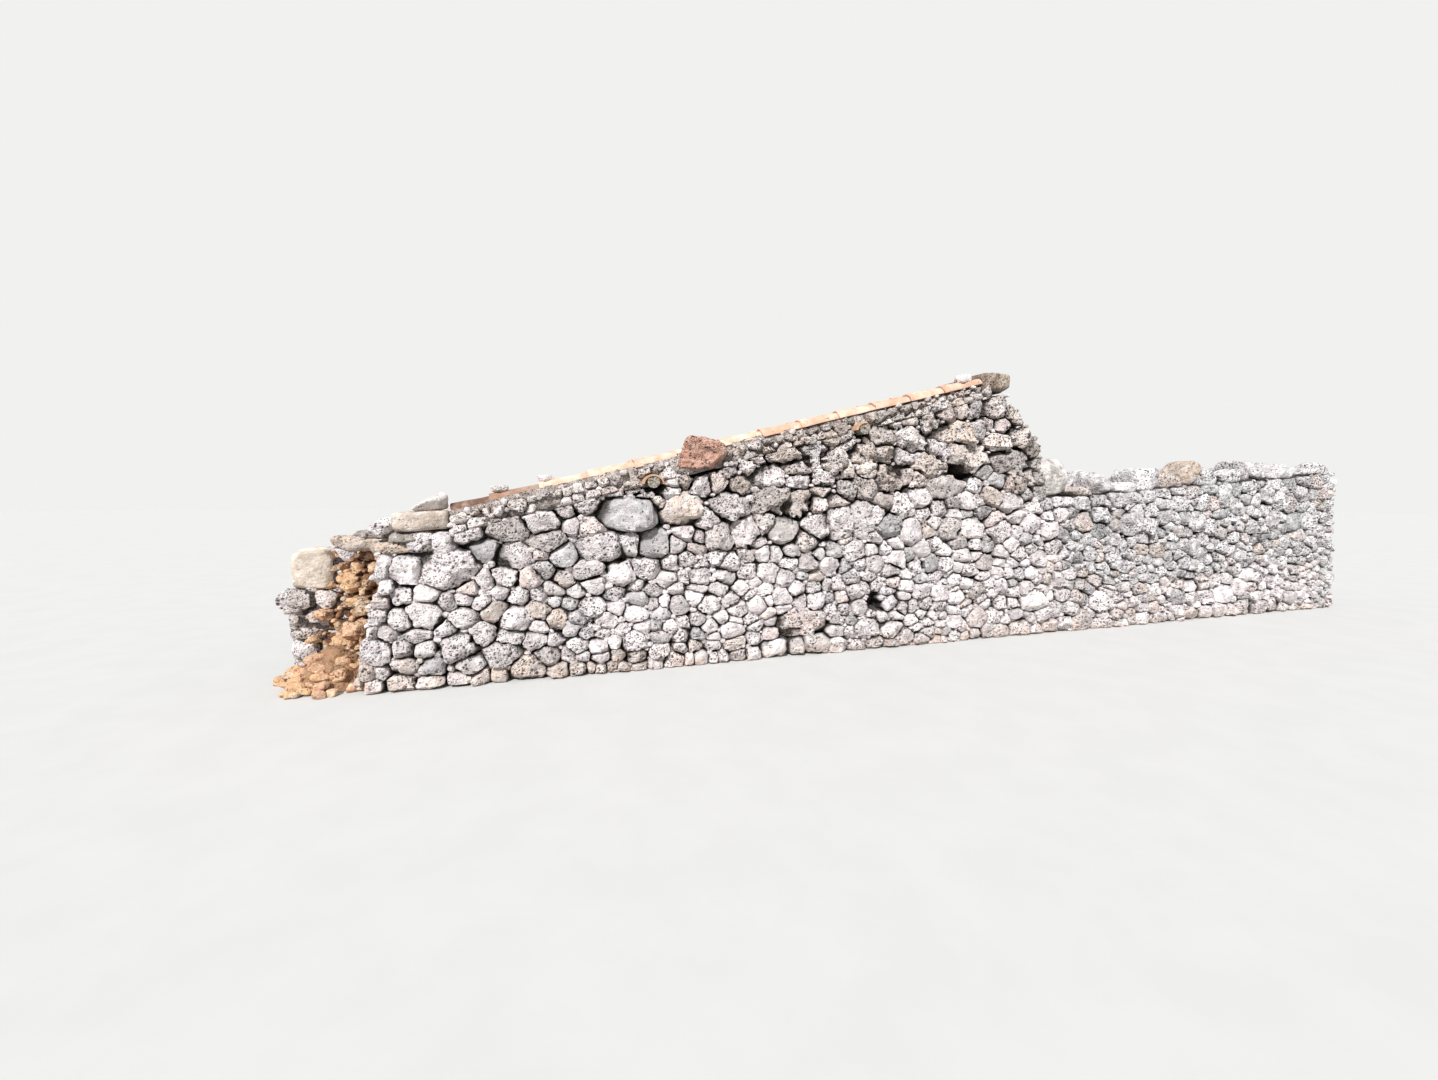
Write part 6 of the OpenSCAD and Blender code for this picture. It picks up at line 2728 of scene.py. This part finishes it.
@dataclass
class FieldTop(Trade):
    """Cope stones along the field wall, the leaning slab, and the stones where it meets the high wall."""

    cope_height: float = 0.235
    parting: float = 0.004
    bay_stones: tuple[int, int, int] = (4, 4, 5)

    def halves(self, node: str) -> Iterator[tuple[Vector, Vector]]:
        """Gives the front and the back half of a node's box, parted along the wall's middle.

        Args:
            node: The node's name.

        Yields:
            The low and high corner of each half.
        """
        low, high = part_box(node)
        yield Vector(low), Vector((high.x, -self.parting, high.z))
        yield Vector((low.x, self.parting, low.z)), Vector(high)

    def rocks_in(self, low: Vector, high: Vector, count: int, seed: int) -> list[Piece]:
        """Fills a long box with rocks of unlike lengths.

        Args:
            low: The box's lowest corner.
            high: The box's highest corner.
            count: How many rocks.
            seed: Picks the random draws.

        Returns:
            The rocks.
        """
        kinds = (StoneKind.WHITE, StoneKind.WHITE, StoneKind.PALE, StoneKind.TAN)
        rng = np.random.default_rng(seed)
        shares = rng.uniform(0.7, 1.35, count)
        stops = low.x + (high.x - low.x) * np.concatenate([[0.0], np.cumsum(shares) / shares.sum()])
        found = []
        for left, right in zip(stops, stops[1:]):
            middle = (left + right) / 2
            height = self.cope_height * rng.uniform(0.5, 1.12)
            size = ((right - left) * 1.03, (high.y - low.y) * rng.uniform(0.9, 1.0), height + 0.03)
            seat = self.form.field_top(middle + self.form.centre)
            centre = Vector((middle, (low.y + high.y) / 2, seat + height / 2 - 0.015))
            place = at_place(centre, tuple(rng.uniform(-5.0, 5.0, 3)))
            kind = kinds[int(rng.integers(len(kinds)))]
            rock = self.quarry.carve("cope", size, place, kind, 22, 17, 0.16, (0.50, 0.84))
            Quarry.slope(rock, 1.0 if rng.uniform() < 0.5 else -1.0, rng.uniform(0.0, 0.4))
            found.append(rock)
        return found

    def copes(self) -> None:
        """Lays two rows of cope stones on each bay, open where the leaning slab stands."""
        for bay, count in enumerate(self.bay_stones, start=1):
            parts = []
            for side, (low, high) in enumerate(self.halves(f"field_cope_{bay}")):
                parts += self.rocks_in(low, high, count, 200 + 10 * bay + side)
            if bay == 2:
                parts = self.clear_gap(parts, *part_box("leaning_stone"))
            self.settle(f"cope_bay_{bay}", parts, f"field_cope_{bay}", "limestone", FIELD_STONE)

    @staticmethod
    def clear_gap(parts: list[Piece], low: Vector, high: Vector) -> list[Piece]:
        """Takes out the front cope stones that stand where the leaning slab does.

        Args:
            parts: The bay's cope stones.
            low: The slab's lowest corner.
            high: The slab's highest corner.

        Returns:
            The stones that stay.
        """
        kept = []
        for part in parts:
            rows = Bench.points(part)
            middle = (rows.min(axis=0) + rows.max(axis=0)) / 2
            if middle[1] < 0.0 and low.x - 0.02 < middle[0] < high.x + 0.02:
                bpy.data.objects.remove(part)
            else:
                kept.append(part)
        return kept

    def leaning_slab(self) -> list[Piece]:
        """Carves the big slab that leans on the cope stones.

        Returns:
            The slab, as a list of one.
        """
        low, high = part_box("leaning_stone")
        size = high - low
        sides = (size.x * 0.92, size.y * 0.9, size.z * 0.84)
        place = at_place((low + high) / 2, (0.0, -20.0, 4.0))
        slab = self.quarry.carve("leaning_slab", sides, place, StoneKind.TAN, 20, 20, 0.13, (0.5, 0.85))
        Quarry.slope(slab, -1.0, 0.4)
        return [slab]

    def junction(self) -> list[Piece]:
        """Carves the rounded boulders where the two walls meet.

        Returns:
            The boulders.
        """
        found = []
        for low, high in self.halves("junction_stones"):
            place = at_place((low + high) / 2)
            rock = self.quarry.carve(
                "junction", tuple(high - low), place, StoneKind.PALE, 22, 20, 0.09, (0.62, 0.8), 0.8,
            )
            Quarry.slope(rock, -1.0, 0.12)
            found.append(rock)
        return found

    def build(self) -> None:
        """Builds and dresses the top of the field wall."""
        self.copes()
        self.settle("leaning_slab", self.leaning_slab(), "leaning_stone", "grey_stone", SLAB_STONE)
        self.settle("junction_boulders", self.junction(), "junction_stones", "grey_stone", JUNCTION_STONE)


@dataclass
class Studio:
    """Plain pale floor, soft light and a camera at the photograph's angle."""

    camera_place: tuple[float, float, float] = (-3.553, -4.745, 1.463)
    camera_turn: tuple[float, float, float] = (84.71, 0.0, -16.08)
    lens: float = 13.52
    sensor: float = 36.0
    floor_size: float = 90.0

    def camera(self) -> None:
        """Sets the camera where the photograph was taken from."""
        data = bpy.data.cameras.new("photo_camera")
        data.lens = self.lens
        data.sensor_width = self.sensor
        data.sensor_fit = "HORIZONTAL"
        camera = bpy.data.objects.new("photo_camera", data)
        camera.location = self.camera_place
        camera.rotation_euler = [math.radians(angle) for angle in self.camera_turn]
        bpy.context.scene.collection.objects.link(camera)
        bpy.context.scene.camera = camera

    def floor(self) -> None:
        """Lays the pale floor, bright to the camera but still holding the wall's shadow."""
        Bench.clear()
        bpy.ops.mesh.primitive_plane_add(size=self.floor_size)
        floor = bpy.context.object
        floor.name = "studio_floor"
        coat = Coat("studio_floor")
        seen = coat.add("ShaderNodeLightPath").outputs["Is Camera Ray"]
        grain = coat.band(coat.noise(coat.place(), 3.0, 6.0), 0.3, 0.7)
        bright = coat.mix(grain, paint(195, 194, 192), paint(198, 197, 195))
        coat.feed(coat.shader.inputs["Base Color"], coat.mix(seen, paint(150, 148, 145), bright))
        coat.shader.inputs["Roughness"].default_value = 0.95
        floor.data.materials.append(coat.material)

    def sun(self, name: str, strength: float, spread: float, turn: tuple[float, float, float]) -> None:
        """Hangs one soft distant lamp.

        Args:
            name: Its name.
            strength: Its strength.
            spread: How soft its shadow is.
            turn: Where it shines from.
        """
        data = bpy.data.lights.new(name, "SUN")
        data.energy = strength
        data.angle = math.radians(spread)
        lamp = bpy.data.objects.new(name, data)
        lamp.rotation_euler = [math.radians(angle) for angle in turn]
        bpy.context.scene.collection.objects.link(lamp)

    def world(self) -> None:
        """Fills the room with even light behind a pale background."""
        world = bpy.data.worlds.new("studio_world")
        bpy.context.scene.world = world
        world.use_nodes = True
        world.node_tree.nodes.clear()
        board = NodeBoard(world.node_tree)
        path = board.add("ShaderNodeLightPath")
        seen = board.math("MAXIMUM", path.outputs["Is Camera Ray"], path.outputs["Is Glossy Ray"])
        seen = board.math("MAXIMUM", seen, path.outputs["Is Transmission Ray"])
        fill = board.add("ShaderNodeBackground", {}, {"Color": (0.93, 0.96, 1.0, 1.0), "Strength": 0.58})
        back = board.add("ShaderNodeBackground", {}, {"Color": paint(241, 241, 240), "Strength": 1.0})
        mixed = board.add("ShaderNodeMixShader", {}, {0: seen, 1: fill.outputs[0], 2: back.outputs[0]})
        leave = board.add("ShaderNodeOutputWorld")
        board.feed(leave.inputs[0], mixed.outputs[0])

    def build(self) -> None:
        """Sets up the whole studio."""
        self.camera()
        self.floor()
        self.sun("key_sun", 4.6, 6.0, (48.0, 0.0, -36.0))
        self.sun("fill_sun", 0.35, 70.0, (62.0, 0.0, 60.0))
        self.world()
        bpy.context.scene.view_settings.view_transform = "Standard"


def dress_core(rack: FinishRack) -> None:
    """Gives the wall's hidden filling its earth finish.

    Args:
        rack: Keeps the finishes.
    """
    earth = EarthFinish("packed_earth")
    rubble = EarthFinish("packed_rubble", paint(172, 158, 146), paint(84, 72, 64))
    for node in ("hearting_left", "hearting_middle", "hearting_right", "field_hearting"):
        rack.dress(bpy.data.objects[node], earth if node == "hearting_left" else rubble)


def main() -> None:
    """Builds the wall's pieces in order and reports each."""
    tools = WallForm(), FinishRack(), Quarry(1000)
    Studio().build()
    dress_core(tools[1])
    Masonry(*tools).build()
    BrokenEnd(*tools).build()
    top = TiledTop(*tools)
    top.build()
    LogEnds(*tools).build(top)
    FieldTop(*tools).build()


if __name__ == "__main__":
    main()
